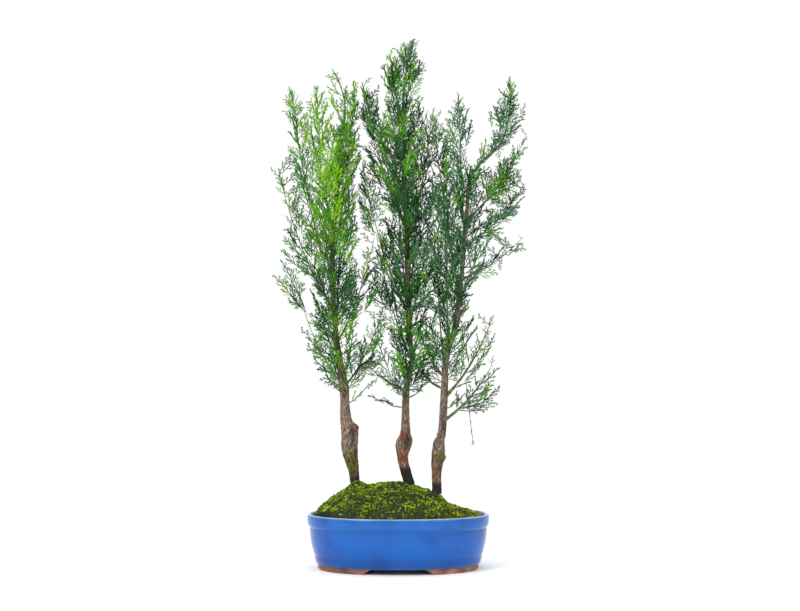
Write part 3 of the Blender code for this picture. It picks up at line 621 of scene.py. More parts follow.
def make_foot(side, clay):
    """One foot: a band of clay round the oval's end, with worn edges."""
    outer = POT_HALF_LENGTH - FOOT_INSET
    inner = outer - FOOT_WIDTH
    worn = 0.0012
    section = (
        (inner, worn), (inner + worn, 0.0), (outer - worn, 0.0), (outer, worn),
        (outer + 0.0004, POT_UNDERSIDE - 0.0003), (inner, POT_UNDERSIDE - 0.0003),
    )

    def place(turn, share):
        half_length, height = section[round(turn * 6) % 6]
        start = FOOT_GAP_BOTTOM + (FOOT_GAP_TOP - FOOT_GAP_BOTTOM) * height / POT_UNDERSIDE
        widest = acos(min(1.0, (start / half_length) ** (POT_SQUARENESS / 2)))
        x, y = oval(half_length, widest * (2 * share - 1))
        rough = 0.00025 * ripple(x, y, height, 160)
        return Vector((side * (x + rough), y + rough, height + (rough if height > 0 else 0.0)))

    name = "foot_right" if side > 0 else "foot_left"
    grid_piece(f"{name}_clay", 6, 72, place, [clay], "clay", [name], False)


def moss_height(x, y):
    """Height of the mound: its crest along X, falling off to the pot's rim at the front and the back."""
    crest = float(np.interp(x, *MOSS_RIDGE.T))
    half_length = POT_HALF_LENGTH - MOSS_EDGE_INSET
    wide = max(1e-6, 1 - abs(x / half_length) ** POT_SQUARENESS) ** (1 / POT_SQUARENESS)
    fall = min(1.0, abs(y) / ((half_length - POT_SLIMNESS) * wide))
    lumps = 0.0016 * (sin(x * 190 + 1) * cos(y * 170) + sin(x * 95 - y * 120))
    rise = (crest - MOSS_EDGE_HEIGHT) * (1 - fall**MOSS_ROUNDNESS)
    return MOSS_EDGE_HEIGHT + rise + lumps * (1 - fall**4)


def make_soil(soil):
    """Crumbly potting soil, level with the rim, with loose grains where the moss leaves it bare."""
    radius = POT_HALF_LENGTH - POT_OUTLINE[6][0] - POT_WALL - 0.0005

    def place(turn, share):
        x, y = oval(max(radius * share, POT_SLIMNESS + 0.001), tau * turn)
        fade = min(1.0, share * 4)
        x, y = x * fade, y * fade
        crumbs = 0.0011 * ripple(x, y, 0.3, 260) * (1 if share < 0.999 else 0)
        return Vector((x, y, SOIL_TOP + crumbs))

    mesh, rim = wrapped_grid(144, 40, place)
    grown = bmesh.ops.extrude_edge_only(mesh, edges=rim)["geom"]
    for vert in (part for part in grown if isinstance(part, bmesh.types.BMVert)):
        vert.co.z -= SOIL_DEPTH
    rim = [part for part in grown if isinstance(part, bmesh.types.BMEdge)]
    bmesh.ops.holes_fill(mesh, edges=rim)
    finish_object("soil_bed", mesh, [soil], "soil", ["soil"])

    ball = bmesh.new()
    bmesh.ops.create_icosphere(ball, subdivisions=1, radius=1)
    ball_points = np.array([vert.co[:] for vert in ball.verts])
    ball_faces = np.array([[vert.index for vert in face.verts] for face in ball.faces])
    ball.free()
    shapes = []
    for _ in range(SOIL_GRAINS):
        turn = between(0, tau)
        x, y = oval(radius - between(0.0015, 0.0125), turn)
        size = between(0.0006, 0.0015)
        rough = 1 + dice.normal(0, 0.16, (len(ball_points), 1))
        shapes.append((ball_points * rough * size + (x, y, SOIL_TOP + size * 0.6), ball_faces))
    array_object("soil_grains", shapes, [0] * len(shapes), [soil])


def make_moss(base, greens):
    """Cushion-forming moss: a lumpy mound, covered with small tufts of pointed leaves, painted in lit and
    shaded greens by patches and face by face.
    """
    half_length = POT_HALF_LENGTH - MOSS_EDGE_INSET - POT_WALL / 2

    def mound(x, y):
        """The mound's height: a hump and a dip by the left trunk, and a collar round the right one."""
        cushions = ripple(x, y, 0, 75) + 0.5 * ripple(x, y, 4, 190)
        hump = 0.0050 * exp(-(((x + 0.069) / 0.009) ** 2) - (((y + 0.004) / 0.012) ** 2))
        dip = 0.0025 * exp(-(((x + 0.045) / 0.010) ** 2))
        slope = 0.0040 * min(1.0, max(0.0, (x - 0.015) / 0.04)) * min(1.0, (0.16 - x) / 0.05)
        collar = 0.0058 * exp(-(((x - 0.0665) / 0.012) ** 2) - (((y + 0.014) / 0.013) ** 2))
        return moss_height(x, y) - MOSS_SINK + hump + collar - dip - slope + 0.0022 * cushions

    def edge_drop(share):
        return 0.0045 * max(0.0, share - 0.9) / 0.1

    def reach_at(turn, share=1.0):
        """The mound's half-length by its turn: it draws back at the front left, where soil lies bare."""
        return half_length * share * (1 - 0.085 * exp(-(((turn - 0.575) / 0.045) ** 2)))

    def place(turn, share):
        x, y = oval(reach_at(turn), tau * turn)
        if share > MOSS_TURNS_UNDER:
            low = share > 0.99
            shrink = 0.985 if low else 1.0
            return Vector((x * shrink, y * shrink, SOIL_TOP + (0.0005 if low else 0.0035)))
        share = share / MOSS_TURNS_UNDER
        edge = 1 - 0.035 * max(0.0, ripple(cos(tau * turn) * 4, sin(tau * turn) * 4, 2))
        x, y = x * share * edge, y * share * edge
        return Vector((x, y, mound(x, y) - edge_drop(share)))

    grid_piece("moss_cushion", 200, 100, place, [base], "moss", ["moss_mound"])

    tufts = []
    for _ in range(MOSS_TUFT_KINDS):
        leaves = []
        for _ in range(LEAVES_IN_TUFT):
            turn, lean = between(0, tau), between(0.15, 1.1)
            tip = unit(np.array((lean * cos(turn), lean * sin(turn), 1.0))) * between(0.65, 1.15)
            leaves.append(cord([np.zeros(3), tip * 0.5, tip], [0, 0.125, 0], normal=across(tip)))
        tufts.append(joined(leaves))
    shapes, colours = [], []
    near = 0.002  # how far off the mound's slope is taken
    for _ in range(MOSS_TUFTS):
        turn, share = chance.random(), chance.random() ** 0.5
        x, y = oval(reach_at(turn, 0.992), tau * turn)
        x, y = x * share, y * share
        z = mound(x, y) - edge_drop(share)
        east = mound(x + near, y) - mound(x - near, y)
        north = mound(x, y + near) - mound(x, y - near)
        normal = unit(np.array((-east / (2 * near), -north / (2 * near), 1.0)))
        size = between(0.0022, 0.0042)
        # Painted light and shade: each patch's tufts take a lighter or a darker pair of the moss greens,
        # and their faces alternate between the two.
        patch = 0.7 * ripple(x, y, 1, 42) + 0.6 * ripple(x, y, 7, 150)
        shade = patch + chance.gauss(0, 0.20)
        green = 0 if shade > 0.16 else 1 if shade > -0.22 else 2
        points, faces = tufts[chance.randrange(len(tufts))]
        side = turned(across(normal), normal, between(0, tau))
        basis = np.array((side, np.cross(normal, side), normal))
        shapes.append((points @ basis * size + (x, y, z - size * 0.25), faces))
        colours.append(green + 1 - np.arange(len(faces)) % 2)
    array_object("moss_tufts", shapes, colours, greens)


# ---- trunks and boughs


def trunk_rows(tree, steps):
    """A trunk's middle line and diameter, as rows of x, y, height and diameter."""
    return smooth_rows(in_metres(TRUNKS[tree]), steps)[:, [1, 2, 0, 3]]


def trunk_at(tree, height):
    """The middle of a trunk at a height."""
    rows = trunk_rows(tree, 8)
    return np.array([*(np.interp(height, rows[:, 2], rows[:, i]) for i in (0, 1)), height])


def curved(start, elbow, tip, count):
    """Points on a curve from start to tip that heads for the elbow."""
    t = np.linspace(0, 1, count)[:, None]
    return (1 - t) ** 2 * start + 2 * t * (1 - t) * elbow + t * t * tip


def limb_axis(tree, row, count=MASS_POINTS):
    """Points of a limb from its trunk's middle to its tip: out first, then up."""
    leaves_at, turn, reach, top = row[:4]
    start, outward = trunk_at(tree, leaves_at), heading(turn)
    tip = start + reach * outward
    tip[2] = top
    elbow = start + LIMB_STEEPNESS * reach * outward + LIMB_LIFT * (top - leaves_at) * UP
    return curved(start, elbow, tip, count)


def leader_axis(tree):
    """The stem that grows on from the end of a trunk."""
    before, end = trunk_rows(tree, 8)[-2:, :3]
    tip, _, bend = LEADERS[tree][:3]
    rise = unit(end - before) * norm(np.array(tip) - end) * LEADER_ELBOW
    return curved(end, end + rise + bend * RIGHT, np.array(tip), LEADER_POINTS)


# Knobs, scars and stubs on the trunks: height, turn in degrees, how far it stands out, half-height,
# half-width in degrees
KNOBS = {
    "left": (
        (0.23, -20, 0.003, 0.005, 34), (0.201, 200, 0.0008, 0.011, 40), (0.19, -70, 0.001, 0.007, 30),
        (0.296, 150, 0.0012, 0.006, 40),
    ),
    "middle": (
        (0.204, 10, 0.001, 0.007, 40), (0.2, 190, 0.001, 0.008, 36), (0.218, -80, 0.0012, 0.005, 34),
        (0.346, -30, 0.0014, 0.005, 50),
    ),
    "right": (
        (0.18, -10, 0.003, 0.0048, 32), (0.219, 196, 0.0026, 0.0022, 18), (0.17, 200, 0.0008, 0.008, 40),
        (0.405, -60, 0.0014, 0.006, 50),
    ),
}
# What the bark shows: kind, height, half-height, turn and half-width in degrees, amount
BARK_PATCHES = {
    "left": (
        ("peel", 0.222, 0.02, -60, 40, 0.4), ("moss", 0.176, 0.017, -70, 110, 0.8),
        ("moss", 0.158, 0.012, -90, 200, 0.5), ("moss", 0.36, 0.07, -90, 300, 0.75),
        ("moss", 0.64, 0.11, -90, 300, 0.6), ("damp", 0.14, 0.018, -90, 250, 0.7),
    ),
    "middle": (
        ("peel", 0.216, 0.011, -112, 40, 0.8), ("moss", 0.206, 0.011, -55, 34, 0.8),
        ("moss", 0.275, 0.03, -90, 200, 0.3), ("moss", 0.64, 0.16, -90, 300, 0.5),
        ("peel", 0.18, 0.017, -90, 130, 0.66), ("damp", 0.148, 0.014, -90, 300, 1.3),
    ),
    "right": (
        ("damp", 0.228, 0.012, -70, 70, 0.6), ("peel", 0.214, 0.008, -120, 40, 0.6),
        ("moss", 0.182, 0.011, -60, 50, 0.8), ("peel", 0.158, 0.02, -90, 130, 0.55),
        ("damp", 0.131, 0.012, -90, 300, 0.85),
    ),
}


def patch_strength(height, degrees, centre, half_height, turn, half_width):
    """How strongly a patch or a knob shows at a place on the bark, from 0 to 1."""
    apart = (degrees - turn + 180) % 360 - 180
    return exp(-(((height - centre) / half_height) ** 2)) * exp(-((apart / half_width) ** 2))


def make_trunk(tree, bark):
    """A trunk with the relief of its bark: fluted, ringed at its swellings, split into thin strips."""
    fine = resampled(trunk_rows(tree, 10), TRUNK_RINGS)
    fine = np.vstack((fine[0] * (1, 1, 1, 0.98) - (0, 0, TRUNK_SINK, 0), fine))

    def place(turn, share):
        x, y, z, diameter = fine[round(share * (len(fine) - 1))]
        c, s = cos(tau * turn), sin(tau * turn)
        radius = diameter / 2
        flutes = ripple(c * 1.6, s * 1.6, z * 22 + len(tree))
        strips = ripple(c * 5.5, s * 5.5, z * 65 + len(tree))
        flakes = ripple(c * 11, s * 11, z * 190)
        relief = radius * (0.10 * flutes + 0.12 * (1 - 2 * abs(strips)) - 0.08 + 0.05 * flakes)
        for height, degrees, out, half_height, half_width in KNOBS[tree]:
            relief += out * patch_strength(z, turn * 360, height, half_height, degrees, half_width)
        return Vector((x, y, z)) + Vector((c, s, 0)) * (radius + relief)

    finish = [bark], "bark", [f"trunk_{tree}"]
    piece = grid_piece(f"bark_{tree}_trunk", TRUNK_SIDES, len(fine) - 1, place, *finish)
    for kind in BARK_TINTS:
        amounts = []
        for x, y, z in (vert.co for vert in piece.data.vertices):
            middle_x, middle_y = (np.interp(z, fine[:, 2], fine[:, i]) for i in (0, 1))
            degrees = atan2(y - middle_y, x - middle_x) * 180 / pi
            total = 0.0
            for sort, height, half_height, turn, half_width, amount in BARK_PATCHES[tree]:
                if sort == kind:
                    total += amount * patch_strength(z, degrees, height, half_height, turn, half_width)
            amounts.append(total)
        piece.data.attributes.new(kind, "FLOAT", "POINT").data.foreach_set("value", amounts)


def make_boughs(tree, bark, young, twig_bark):
    """The bare part of each limb, swollen where it leaves the trunk, running on into its foliage's stem."""
    shapes, picks, names = [], [], []
    for name, row in LIMBS[tree].items():
        axis = limb_axis(tree, row, BOUGH_POINTS)
        axis = axis[: round(BOUGH_POINTS * CUT_SHORT.get(f"{tree}_{name}", 1.0))]
        low = row[0] < LOW_BOUGH
        thick = BOUGH_DIAMETER / 2 * (1.0 if low else THIN_BOUGH) if row[5] else HIDDEN_STEM_RADIUS
        shares = np.linspace(0, 1, len(axis))
        radii = thick * (1 - 0.84 * shares**0.7) * (1 + 0.9 * np.exp(-((shares / 0.05) ** 2)))
        uneven = 1 + 0.10 * dice.normal(0, 1, len(axis))
        shapes.append(cord(axis, radii * uneven, sides=8, normal=BACK))
        picks.append(1 if low else 2)
        if row[5]:
            names.append(f"bough_{tree}_{name}")
    axis = leader_axis(tree)
    radii = trunk_rows(tree, 8)[-1][3] / 2 * (1 - 0.8 * np.linspace(0, 1, len(axis)))
    shapes.append(cord(axis, radii, sides=8, normal=BACK))
    array_object(f"bark_{tree}_boughs", shapes, [*picks, 2], [bark, young, twig_bark], names)


# ---- foliage

# Masses of foliage: name -> points along the stem, spread, bare share, closeness, slimness
masses = {}
for tree, limbs in LIMBS.items():
    for name, row in limbs.items():
        masses[f"{tree}_{name}"] = (limb_axis(tree, row), *row[4:])
    masses[f"{tree}_leader"] = (leader_axis(tree), LEADERS[tree][1], 0.0, *LEADERS[tree][3:])


def in_space(owner, points):
    """Which points stay in their own mass's space: nearer to its stem than to any other, in spreads."""
    axis, _, _, _, slimmer = masses[owner]
    tip, outward = axis[-1], (axis[-1] - axis[0]) * (1, 1, 0)
    leans = norm(outward) > LEAST_OUTWARD
    fine = (points[:, 0] > CROWN_LEFT) & (points[:, 0] < CROWN_RIGHT) & (points[:, 2] < CROWN_TOP)
    fine &= np.abs(points[:, 1]) < CROWN_HALF_DEPTH
    away = {}
    for name, (axis, spread, bare, _, _) in masses.items():
        nodes = np.vstack((axis[round(bare * (MASS_POINTS - 1)) :: 4], axis[-1:]))
        apart = points[:, None] - nodes[None]
        lengths = norm(apart, axis=2)
        away[name] = lengths.min(axis=1) / spread
        if name == owner:
            gaps = apart[np.arange(len(points)), lengths.argmin(axis=1)]
            fall = BROADER_CRESTS.get(owner, CREST_SLOPE) * norm(gaps[:, :2], axis=1)
            fine &= points[:, 2] < tip[2] + TIP_MARGIN - fall
            if leans:
                fine &= (points - tip) @ unit(outward) < TIP_MARGIN
                fine &= gaps @ unit(outward) < OUTSIDE * slimmer
    least = np.min(list(away.values()), axis=0)
    return fine & (away[owner] < MASS_REACH) & (away[owner] <= least + SPACE_SHARED)


def in_sky(points):
    """Which points lie in a gap of the crown, seen from the front."""
    found = np.zeros(len(points), bool)
    for x, z, half_width, half_height in SKY:
        found |= ((points[:, 0] - x) / half_width) ** 2 + ((points[:, 2] - z) / half_height) ** 2 < 1
    return found


def foliage_width(share):
    """How far foliage spreads from its stem, by the share of the way along it."""
    swell = FOLIAGE_SWELL * sin(pi * min(1.0, share * 1.1 + 0.10))
    return (FOLIAGE_FOOT + swell) * (1 - FOLIAGE_TAPER * share)


def spray_shape(count, radius):
    """One flat spray of unit length: a cord, and forked branchlets left and right by turns."""
    arch, sway = between(-0.08, 0.14), between(-0.08, 0.08)

    def middle(share):
        return np.array((share, sway * share * share, arch * share * share))

    line = [middle(share) for share in (0, 0.3, 0.7, 0.94, 1.0)]
    shapes = [cord(line, [0, radius * 1.1, radius, radius * 0.95, 0])]
    for index in range(count):
        share = 0.10 + 0.72 * (index + between(-0.2, 0.2)) / (count - 1)
        side = 1 if index % 2 else -1
        base = middle(share)
        length = (0.46 - 0.26 * share) * between(0.75, 1.15)
        angle = side * radians(between(28, 42))
        tilt = between(-0.2, 0.2)
        low, high = (
            unit(np.array((cos(bend), sin(bend), tilt + arch * share))) for bend in (angle, angle * 0.75)
        )
        knee, tip = base + 0.5 * length * low, base + 0.5 * length * (low + high)
        line = [base, base + 0.2 * length * low, knee + 0.4 * length * high, tip]
        shapes.append(cord(line, [0, radius * 0.95, radius * 0.95, 0]))
        for step in range(3 if length > 0.30 else 2 if length > 0.17 else 1):
            root = base + (0.36, 0.58, 0.76)[step] * length * unit(tip - base)
            turn = angle * 0.88 + (-side if step % 2 else side) * radians(between(26, 36))
            small = length * (0.50, 0.38, 0.30)[step] * between(0.8, 1.15)
            way = unit(np.array((cos(turn), sin(turn), tilt + between(-0.2, 0.2))))
            shapes.append(cord([root, root + 0.85 * small * way, root + small * way], [0, radius * 0.9, 0]))
    return joined(shapes)


def green_of(tree, tip):
    """Which green a spray has, by its tree and by where it is on it."""
    x, y, z = tip
    luck = chance.random()
    patch = 0.5 + 0.9 * ripple(x, y * 0.6, z * 0.7, 34)
    # Painted shade: most sprays at the back of the crown are deep green.
    if y > SHADED_SIDE and luck < 0.62:
        return DEEP
    if tree == "left":
        plume = exp(-(((z - 0.690) / 0.110) ** 2)) * exp(-(((x + 0.129) / 0.034) ** 2))
        if x < LEFT_EDGE and z < 0.70 and luck < 0.6:
            return MID
        if z > 0.54:
            if luck < 0.16 + 0.80 * plume:
                return LIME
            return FRESH if patch + 0.4 * plume > 0.42 else MID
        if patch > 0.70:
            return LIME if luck < 0.4 else FRESH
        return DEEP if luck > 0.82 else BLUE if luck > 0.50 else MID if luck > 0.2 else FRESH
    # Painted light: higher sprays are fresh green more often, and in the middle tree the lowest ones a
    # little more often too.
    if tree == "middle":
        sunny = 0.18 if z > 0.66 else 0.06 if z < 0.40 else 0.0
        fresh, lucky, deep, blue = 0.64, 0.75, 0.62, 0.40
    else:
        sunny = 0.20 if z > 0.68 else 0.0
        fresh, lucky, deep, blue = 0.70, 0.70, 0.84, 0.60
    if patch + sunny > fresh and luck < lucky:
        return FRESH
    return DEEP if luck > deep else BLUE if patch < blue else MID


def fitted(allowed, roots, ways, reaches):
    """Each reach, made as much shorter as keeps its tip in its space, or nought where nothing does."""
    result = np.zeros(len(reaches))
    for shorter in SHORTER_TRIES:
        left = np.flatnonzero(result == 0)
        root, reach = roots[left], ways[left] * (reaches[left] * shorter)[:, None]
        fits = left[allowed(root + reach) & ~in_sky(root + reach) & ~in_sky(root + 0.5 * reach)]
        result[fits] = reaches[fits] * shorter
    return result


def grow_twigs(stem, spread, spacing, allowed, twigs):
    """Twigs wound round a stem by the golden angle. Gives the sprays that they want along them."""
    places = np.concatenate(([0.0], np.cumsum(norm(np.diff(stem, axis=0), axis=1))))
    turn = between(0, tau)
    planned = []
    place = spacing * between(0.2, 0.8)
    while place < places[-1]:
        share = place / places[-1]
        spot = min(int(np.interp(place, places, np.arange(len(stem)))), len(stem) - 2)
        base = stem[spot]
        tangent = unit(stem[spot + 1] - base)
        turn += GOLDEN_ANGLE + between(-0.3, 0.3)
        outward = turned(across(tangent), tangent, turn)
        way = TWIG_LEAN * outward + tangent * (0.55 + 0.5 * share)
        way = unit(np.array((way[0], way[1], max(way[2], 0.1))))
        full = TWIG_REACH * spread * foliage_width(share) * between(0.28, 1.05)
        planned.append((base, way, unit(way + TWIG_RISE * UP), min(TWIG_LONGEST, full), share))
        place += spacing / np.interp(base[2], *FULLNESS)
    bases, ways, onwards, fulls = (np.array([row[i] for row in planned]) for i in range(4))
    fulls = fitted(allowed, bases, TWIG_BEND * ways + (1 - TWIG_BEND) * onwards, fulls)
    fulls *= allowed(bases + ways * (TWIG_BEND * fulls)[:, None])
    wanted = []
    for (base, way, onward, _, share), full in zip(planned, fulls):
        if full == 0:
            continue
        middle = base + TWIG_BEND * full * way
        end = middle + (1 - TWIG_BEND) * full * onward
        thin = TWIG_RADIUS * (0.6 + 0.5 * full / TWIG_LONGEST)
        line = [base, base + 0.5 * (middle - base), middle, middle + 0.55 * (end - middle)]
        twigs.append(cord(line, [0, thin, thin * 0.8, 0], normal=across(way)))
        flat = turned(unit(np.cross(onward, UP)), onward, between(-1.3, 1.3))
        steps = max(2, round(full / SPRAY_SPACING))
        for step in range(steps):
            along = 0.10 + 0.90 * step / (steps - 1)
            if along < TWIG_BEND:
                root = base + along * full * way
            else:
                root = middle + (along - TWIG_BEND) * 0.72 * full * onward
            side = 0 if step == steps - 1 else 1 if step % 2 else -1
            run = onward if along > TWIG_BEND else way
            lean = unit(run + SPRAY_LEAN * side * flat + SPRAY_RISE * UP)
            reach = SPRAY_LENGTH * between(0.62, 1.05) * (0.80 if side else 0.95)
            wanted.append((root, lean, reach * (0.46 + 0.52 * foliage_width(share)), flat))
    return wanted


def crest_sprays(stem):
    """A fan of sprays at a stem's end."""
    tip, run = stem[-1], unit(stem[-1] - stem[-4])
    side = across(run)
    wanted = [(stem[-6], run, min(SPRAY_LENGTH, 0.020 + norm(tip - stem[-6])), side)]
    for index in range(4):
        around = turned(side, run, GOLDEN_ANGLE * index)
        root = stem[-2 - 2 * index]
        lean = unit(run + (0.22 + 0.10 * (index % 3)) * around)
        wanted.append((root, lean, SPRAY_LENGTH * between(0.4, 0.7), np.cross(run, around)))
    return wanted


def tip_sprays(stem, tips, twigs):
    """Sprays that end at given places on the outline, each on a twig from the stem below it."""
    wanted = []
    for x, z in tips:
        base = stem[np.abs(z - stem[:, 2] - TIP_STEEPNESS * np.abs(stem[:, 0] - x)).argmin()]
        end = np.array((x, base[1], z))
        gap = norm(end - base)
        way = unit(end - base + 0.18 * gap * UP)
        reach = min(TIP_SPRAY, 0.9 * gap)
        root = end - reach * way
        flat = np.array((way[2], 0.25, -way[0]))
        run = unit(root - base) if gap > reach * 1.1 else way
        line = [base, base + 0.3 * (root - base), root, root + 0.3 * reach * way]
        twigs.append(cord(line, [0, TWIG_RADIUS, TWIG_RADIUS * 0.9, 0], normal=BACK))
        wanted.append((root, way, reach, flat))
        count = round((gap - reach) / SIDE_SPRAY_SPACING)
        for index in range(count):
            middle = base + (index + 0.6) / (count + 0.3) * (root - base)
            lean = run + (0.5 if index % 2 else -0.5) * flat + 0.2 * UP
            lean[2] = max(lean[2], 0.0)
            wanted.append((middle, unit(lean), 0.64 * TIP_SPRAY, flat))
    return wanted


def place_sprays(name, tree, wanted, allowed, fixed, sprays, greens, replaces=()):
    """Sprays where they are wanted, shorter where they would leave their space, and the fixed ones."""
    roots, ways, reaches, flats = (np.array([row[i] for row in wanted + fixed]) for i in range(4))
    free = slice(0, len(wanted))
    reaches[free] = fitted(allowed, roots[free], ways[free], reaches[free])
    shapes, colours = [], []
    for root, way, flat, reach in zip(roots, ways, flats, reaches):
        if reach == 0:
            continue
        side = turned(unit(flat - way * (way @ flat)), way, between(-0.7, 0.7))
        basis = np.array((way, side, np.cross(way, side)))
        points, faces = chance.choice(sprays[int(reach < SMALL_SPRAY)])
        shapes.append((points @ basis * reach + root, faces))
        colours.append(green_of(tree, root + way * reach))
    array_object(f"sprays_{name}", shapes, colours, greens, replaces)


def make_foliage(tree, sprays, greens, twig_bark):
    """The foliage of a tree: round each limb's stem, round the trunk itself, and a few odd twigs below."""
    twigs = []
    for owner in [name for name in masses if name.startswith(tree + "_")]:
        axis, spread, bare, closer, slimmer = masses[owner]
        first, last = (MASS_POINTS - 1) * bare * 0.6, len(axis) * CUT_SHORT.get(owner, 1.0)
        stem = axis[round(first) : round(last)]
        allowed = partial(in_space, owner)
        spread *= max(LEAST_SLIM, slimmer)
        wanted = grow_twigs(stem, spread, TWIG_SPACING / closer, allowed, twigs)
        wanted += crest_sprays(stem)
        fixed = tip_sprays(stem, in_metres(TIPS.get(owner, ())).reshape(-1, 2), twigs)
        place_sprays(owner, tree, wanted, allowed, fixed, sprays, greens, [f"foliage_{owner}"])

    rows = trunk_rows(tree, 12)[:, :3]
    lowest, spread, spacing = INNER_GROWTH[tree]

    def near_trunk(points):
        return (points[:, 2] < rows[-1][2] + 0.03) & (np.abs(points[:, 1]) < CROWN_HALF_DEPTH)

    wanted = grow_twigs(rows[rows[:, 2] > lowest], spread, spacing, near_trunk, twigs)
    for height, turn, length, rise, radius in TWIGLETS[tree]:
        centre, away = trunk_at(tree, height), heading(turn)
        knee, end = centre + 0.55 * length * away + 0.4 * rise * UP, centre + length * away + rise * UP
        line = [centre, 0.5 * (centre + knee), knee, end]
        twigs.append(cord(line, [0, radius, radius * 0.8, 0], sides=5, normal=across(away)))
        flat = np.cross(away, UP)
        for root, side in ((knee, -1), (knee, 1), (end, 0)):
            lean = unit(end - knee + 0.012 * side * flat + 0.006 * UP)
            reach = SPRAY_LENGTH * between(0.30, 0.45) * (2.0 if radius > 0.0015 else 1.0)
            wanted.append((root, lean, reach, flat))
    place_sprays(f"{tree}_inner", tree, wanted, near_trunk, [], sprays, greens)
    array_object(f"twigs_{tree}", twigs, [0] * len(twigs), [twig_bark])


# ---- hang tag


def make_tag(paper, metal, thread):
    """A blank card with rounded corners, a metal eyelet in its top corner and a loop of thin wire."""
    foot, side = -TAG_DROP + TAG_CORNER * 1.5, TAG_WIDTH / 2 - TAG_CORNER
    outline = []
    for x, z, first in ((0, TAG_CORNER / 2, 150), (side, foot, 30), (-side, foot, -90)):
        for step in range(13):
            angle = radians(first - 10 * step)
            outline.append(Vector((x, z)) + TAG_CORNER * Vector((cos(angle), sin(angle))))
    mesh = bmesh.new()
    bmesh.ops.create_circle(mesh, cap_ends=True, segments=len(outline), radius=1)
    face = mesh.faces[:][0]
    for loop, point in zip(face.loops, outline):
        loop.vert.co = TAG_HOLE + Vector((point.x, -TAG_THICKNESS / 2, point.y))
    grown = bmesh.ops.extrude_face_region(mesh, geom=[face])["geom"]
    for vert in (part for part in grown if isinstance(part, bmesh.types.BMVert)):
        vert.co.y += TAG_THICKNESS
    finish_object("tag_card", mesh, [paper], "card", ["hang_tag"], False)

    def ring(turn, share):
        angle, round_it = tau * turn, tau * share
        radius = TAG_HOLE_RADIUS + 0.0004 + 0.0008 * cos(round_it)
        return TAG_HOLE + Vector((radius * cos(angle), 0.0011 * sin(round_it), radius * sin(angle)))

    grid_piece("tag_eyelet", 32, 10, ring, [metal], "wire")
    axis = limb_axis("right", LIMBS["right"]["right_foot"], 201)
    bough = axis[np.abs(axis[:, 0] - WIRE_HANGS_AT).argmin()]
    over, under = BOUGH_DIAMETER / 2 + 0.0008, 0.0015
    low = np.array(TAG_HOLE) + UP * 0.0012
    path = []
    for centre, radius, first in ((bough, over, 0.0), (low, under, pi)):
        for step in range(9):
            angle = first + pi * step / 8
            path.append(centre + radius * np.array((0.0, cos(angle), sin(angle))))
    loop = resampled(smooth_rows(path + path[:1], 4), WIRE_POINTS + 1)

    def wire(turn, share):
        index = round(share * WIRE_POINTS) % WIRE_POINTS
        tangent = unit(loop[index + 1] - loop[(index or WIRE_POINTS) - 1])
        lift = unit(np.cross(tangent, RIGHT))
        angle = tau * turn
        twist = 0.0004 * sin(index * 0.9) * RIGHT if 24 < index < 72 else 0
        return Vector(loop[index] + twist + WIRE_RADIUS * (cos(angle) * RIGHT + sin(angle) * lift))

    grid_piece("tag_thread", 8, WIRE_POINTS, wire, [thread], "wire", ["tag_wire"])


# ---- building

glaze = glaze_material()
clay = clay_material()
bark = bark_material()
soil = plain_material("damp potting soil", ("#15100C", "#2B2018", "#4A382A"), 400.0, 0.95, 0.0006)
# The thatch under the tufts: its own dark green-brown, painted darker still as the shade in the gaps
# between the tufts.
moss_thatch_and_gap_shade = plain_material("moss thatch with painted gap shade", ("#0C1203", "#1C2807", "#33450D"), 260.0, 0.95)
moss_greens = [
    leaf_material("sunlit moss", "#A9BC10", "#CEDA2C"),
    leaf_material("cushion moss", "#688A06", "#8AA410"),
    leaf_material("half-shaded moss", "#395406", "#54720A"),
    leaf_material("shaded moss", "#172404", "#263A08"),
]
greens = [
    leaf_material("lime spray", "#69A60A", "#90CC1C"),
    leaf_material("fresh spray", "#488A12", "#64A822"),
    leaf_material("mid spray", "#28661E", "#3E842C"),
    leaf_material("blue-green spray", "#33643C", "#548858"),
    leaf_material("deep spray", "#103814", "#1D4F1E"),
]
twig_bark = plain_material("young twig bark", ("#2B3A22", "#41552C", "#5A6E3C"), 90.0, 0.8)
young_bark = plain_material("green bough bark", ("#3A3A20", "#59602A", "#76793A"), 120.0, 0.75, 0.0003)
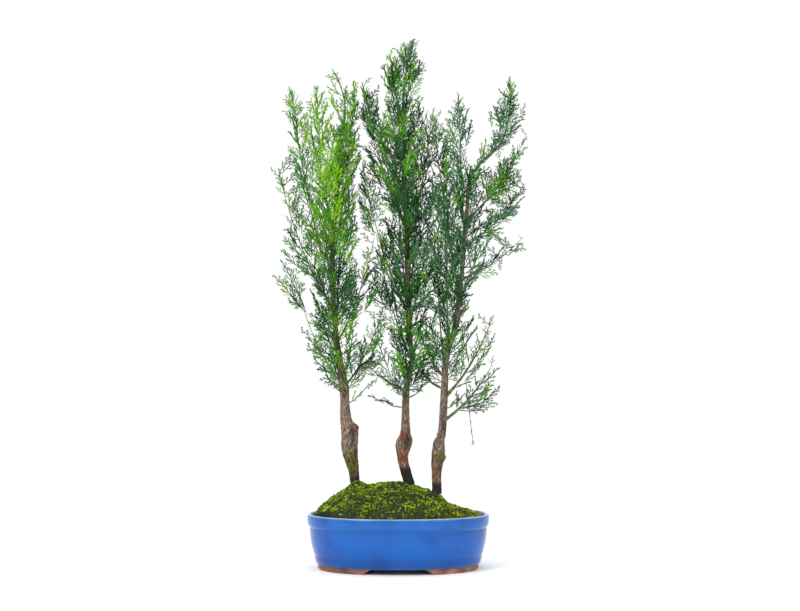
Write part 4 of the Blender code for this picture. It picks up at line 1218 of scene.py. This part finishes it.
paper = plain_material("matt white card", ("#F4F4F2", "#F8F8F6", "#FBFBFA"), 300.0, 0.6, 0.00002)
metal = plain_material("nickelled eyelet", ("#8E90A0", "#A9ABB8", "#C4C6D0"), 200.0, 0.35)
thread = plain_material("dark coated wire", ("#1A1817", "#242120", "#322D2A"), 300.0, 0.5)

make_pot(glaze)
for side in (-1, 1):
    make_foot(side, clay)
make_soil(soil)
make_moss(moss_thatch_and_gap_shade, moss_greens)
sprays = [
    [spray_shape(chance.choice(counts), radius) for _ in range(SPRAY_KINDS)]
    for counts, radius in (((7, 8), 0.0176), ((4, 5), 0.0270))
]
for tree in TRUNKS:
    make_trunk(tree, bark)
    make_boughs(tree, bark, young_bark, twig_bark)
    make_foliage(tree, sprays, greens, twig_bark)
make_tag(paper, metal, thread)

# ---- studio


def stand(name, data, place, aim):
    """Puts a light or the camera in its place, turned to look at a point."""
    thing = bpy.data.objects.new(name, data)
    thing.location = place
    thing.rotation_euler = (Vector(aim) - Vector(place)).to_track_quat("-Z", "Y").to_euler()
    scene.collection.objects.link(thing)
    return thing


bpy.ops.mesh.primitive_plane_add(size=24)
floor = bpy.context.object
floor.name = "floor"
floor.data.materials.append(new_material("white paper sweep", "#FFFFFF", Roughness=1.0)[0])

world = bpy.data.worlds.new("studio")
world.use_nodes = True
sky = world.node_tree.nodes["Background"].inputs
sky["Color"].default_value = (1, 1, 1, 1)
sky["Strength"].default_value = 1.0
scene.world = world

for name, place, aim, size, power in (
    ("key", (-1.5, -2.0, 2.2), (0, 0, 0.40), 1.2, 42),
    ("fill", (1.9, -1.8, 1.2), (0, 0, 0.40), 1.4, 6),
    ("top", (0.1, 0.3, 2.8), (0, 0, 0.3), 1.6, 14),
):
    lamp = bpy.data.lights.new(name, "AREA")
    lamp.size = size
    lamp.energy = power
    stand(name, lamp, place, aim)

lens = bpy.data.cameras.new("camera")
lens.lens = 59.5
lens.sensor_width = 36
scene.camera = stand("camera", lens, (0.003, -2.2, 0.284), (0.003, 0, 0.432))
scene.view_settings.view_transform = "Standard"
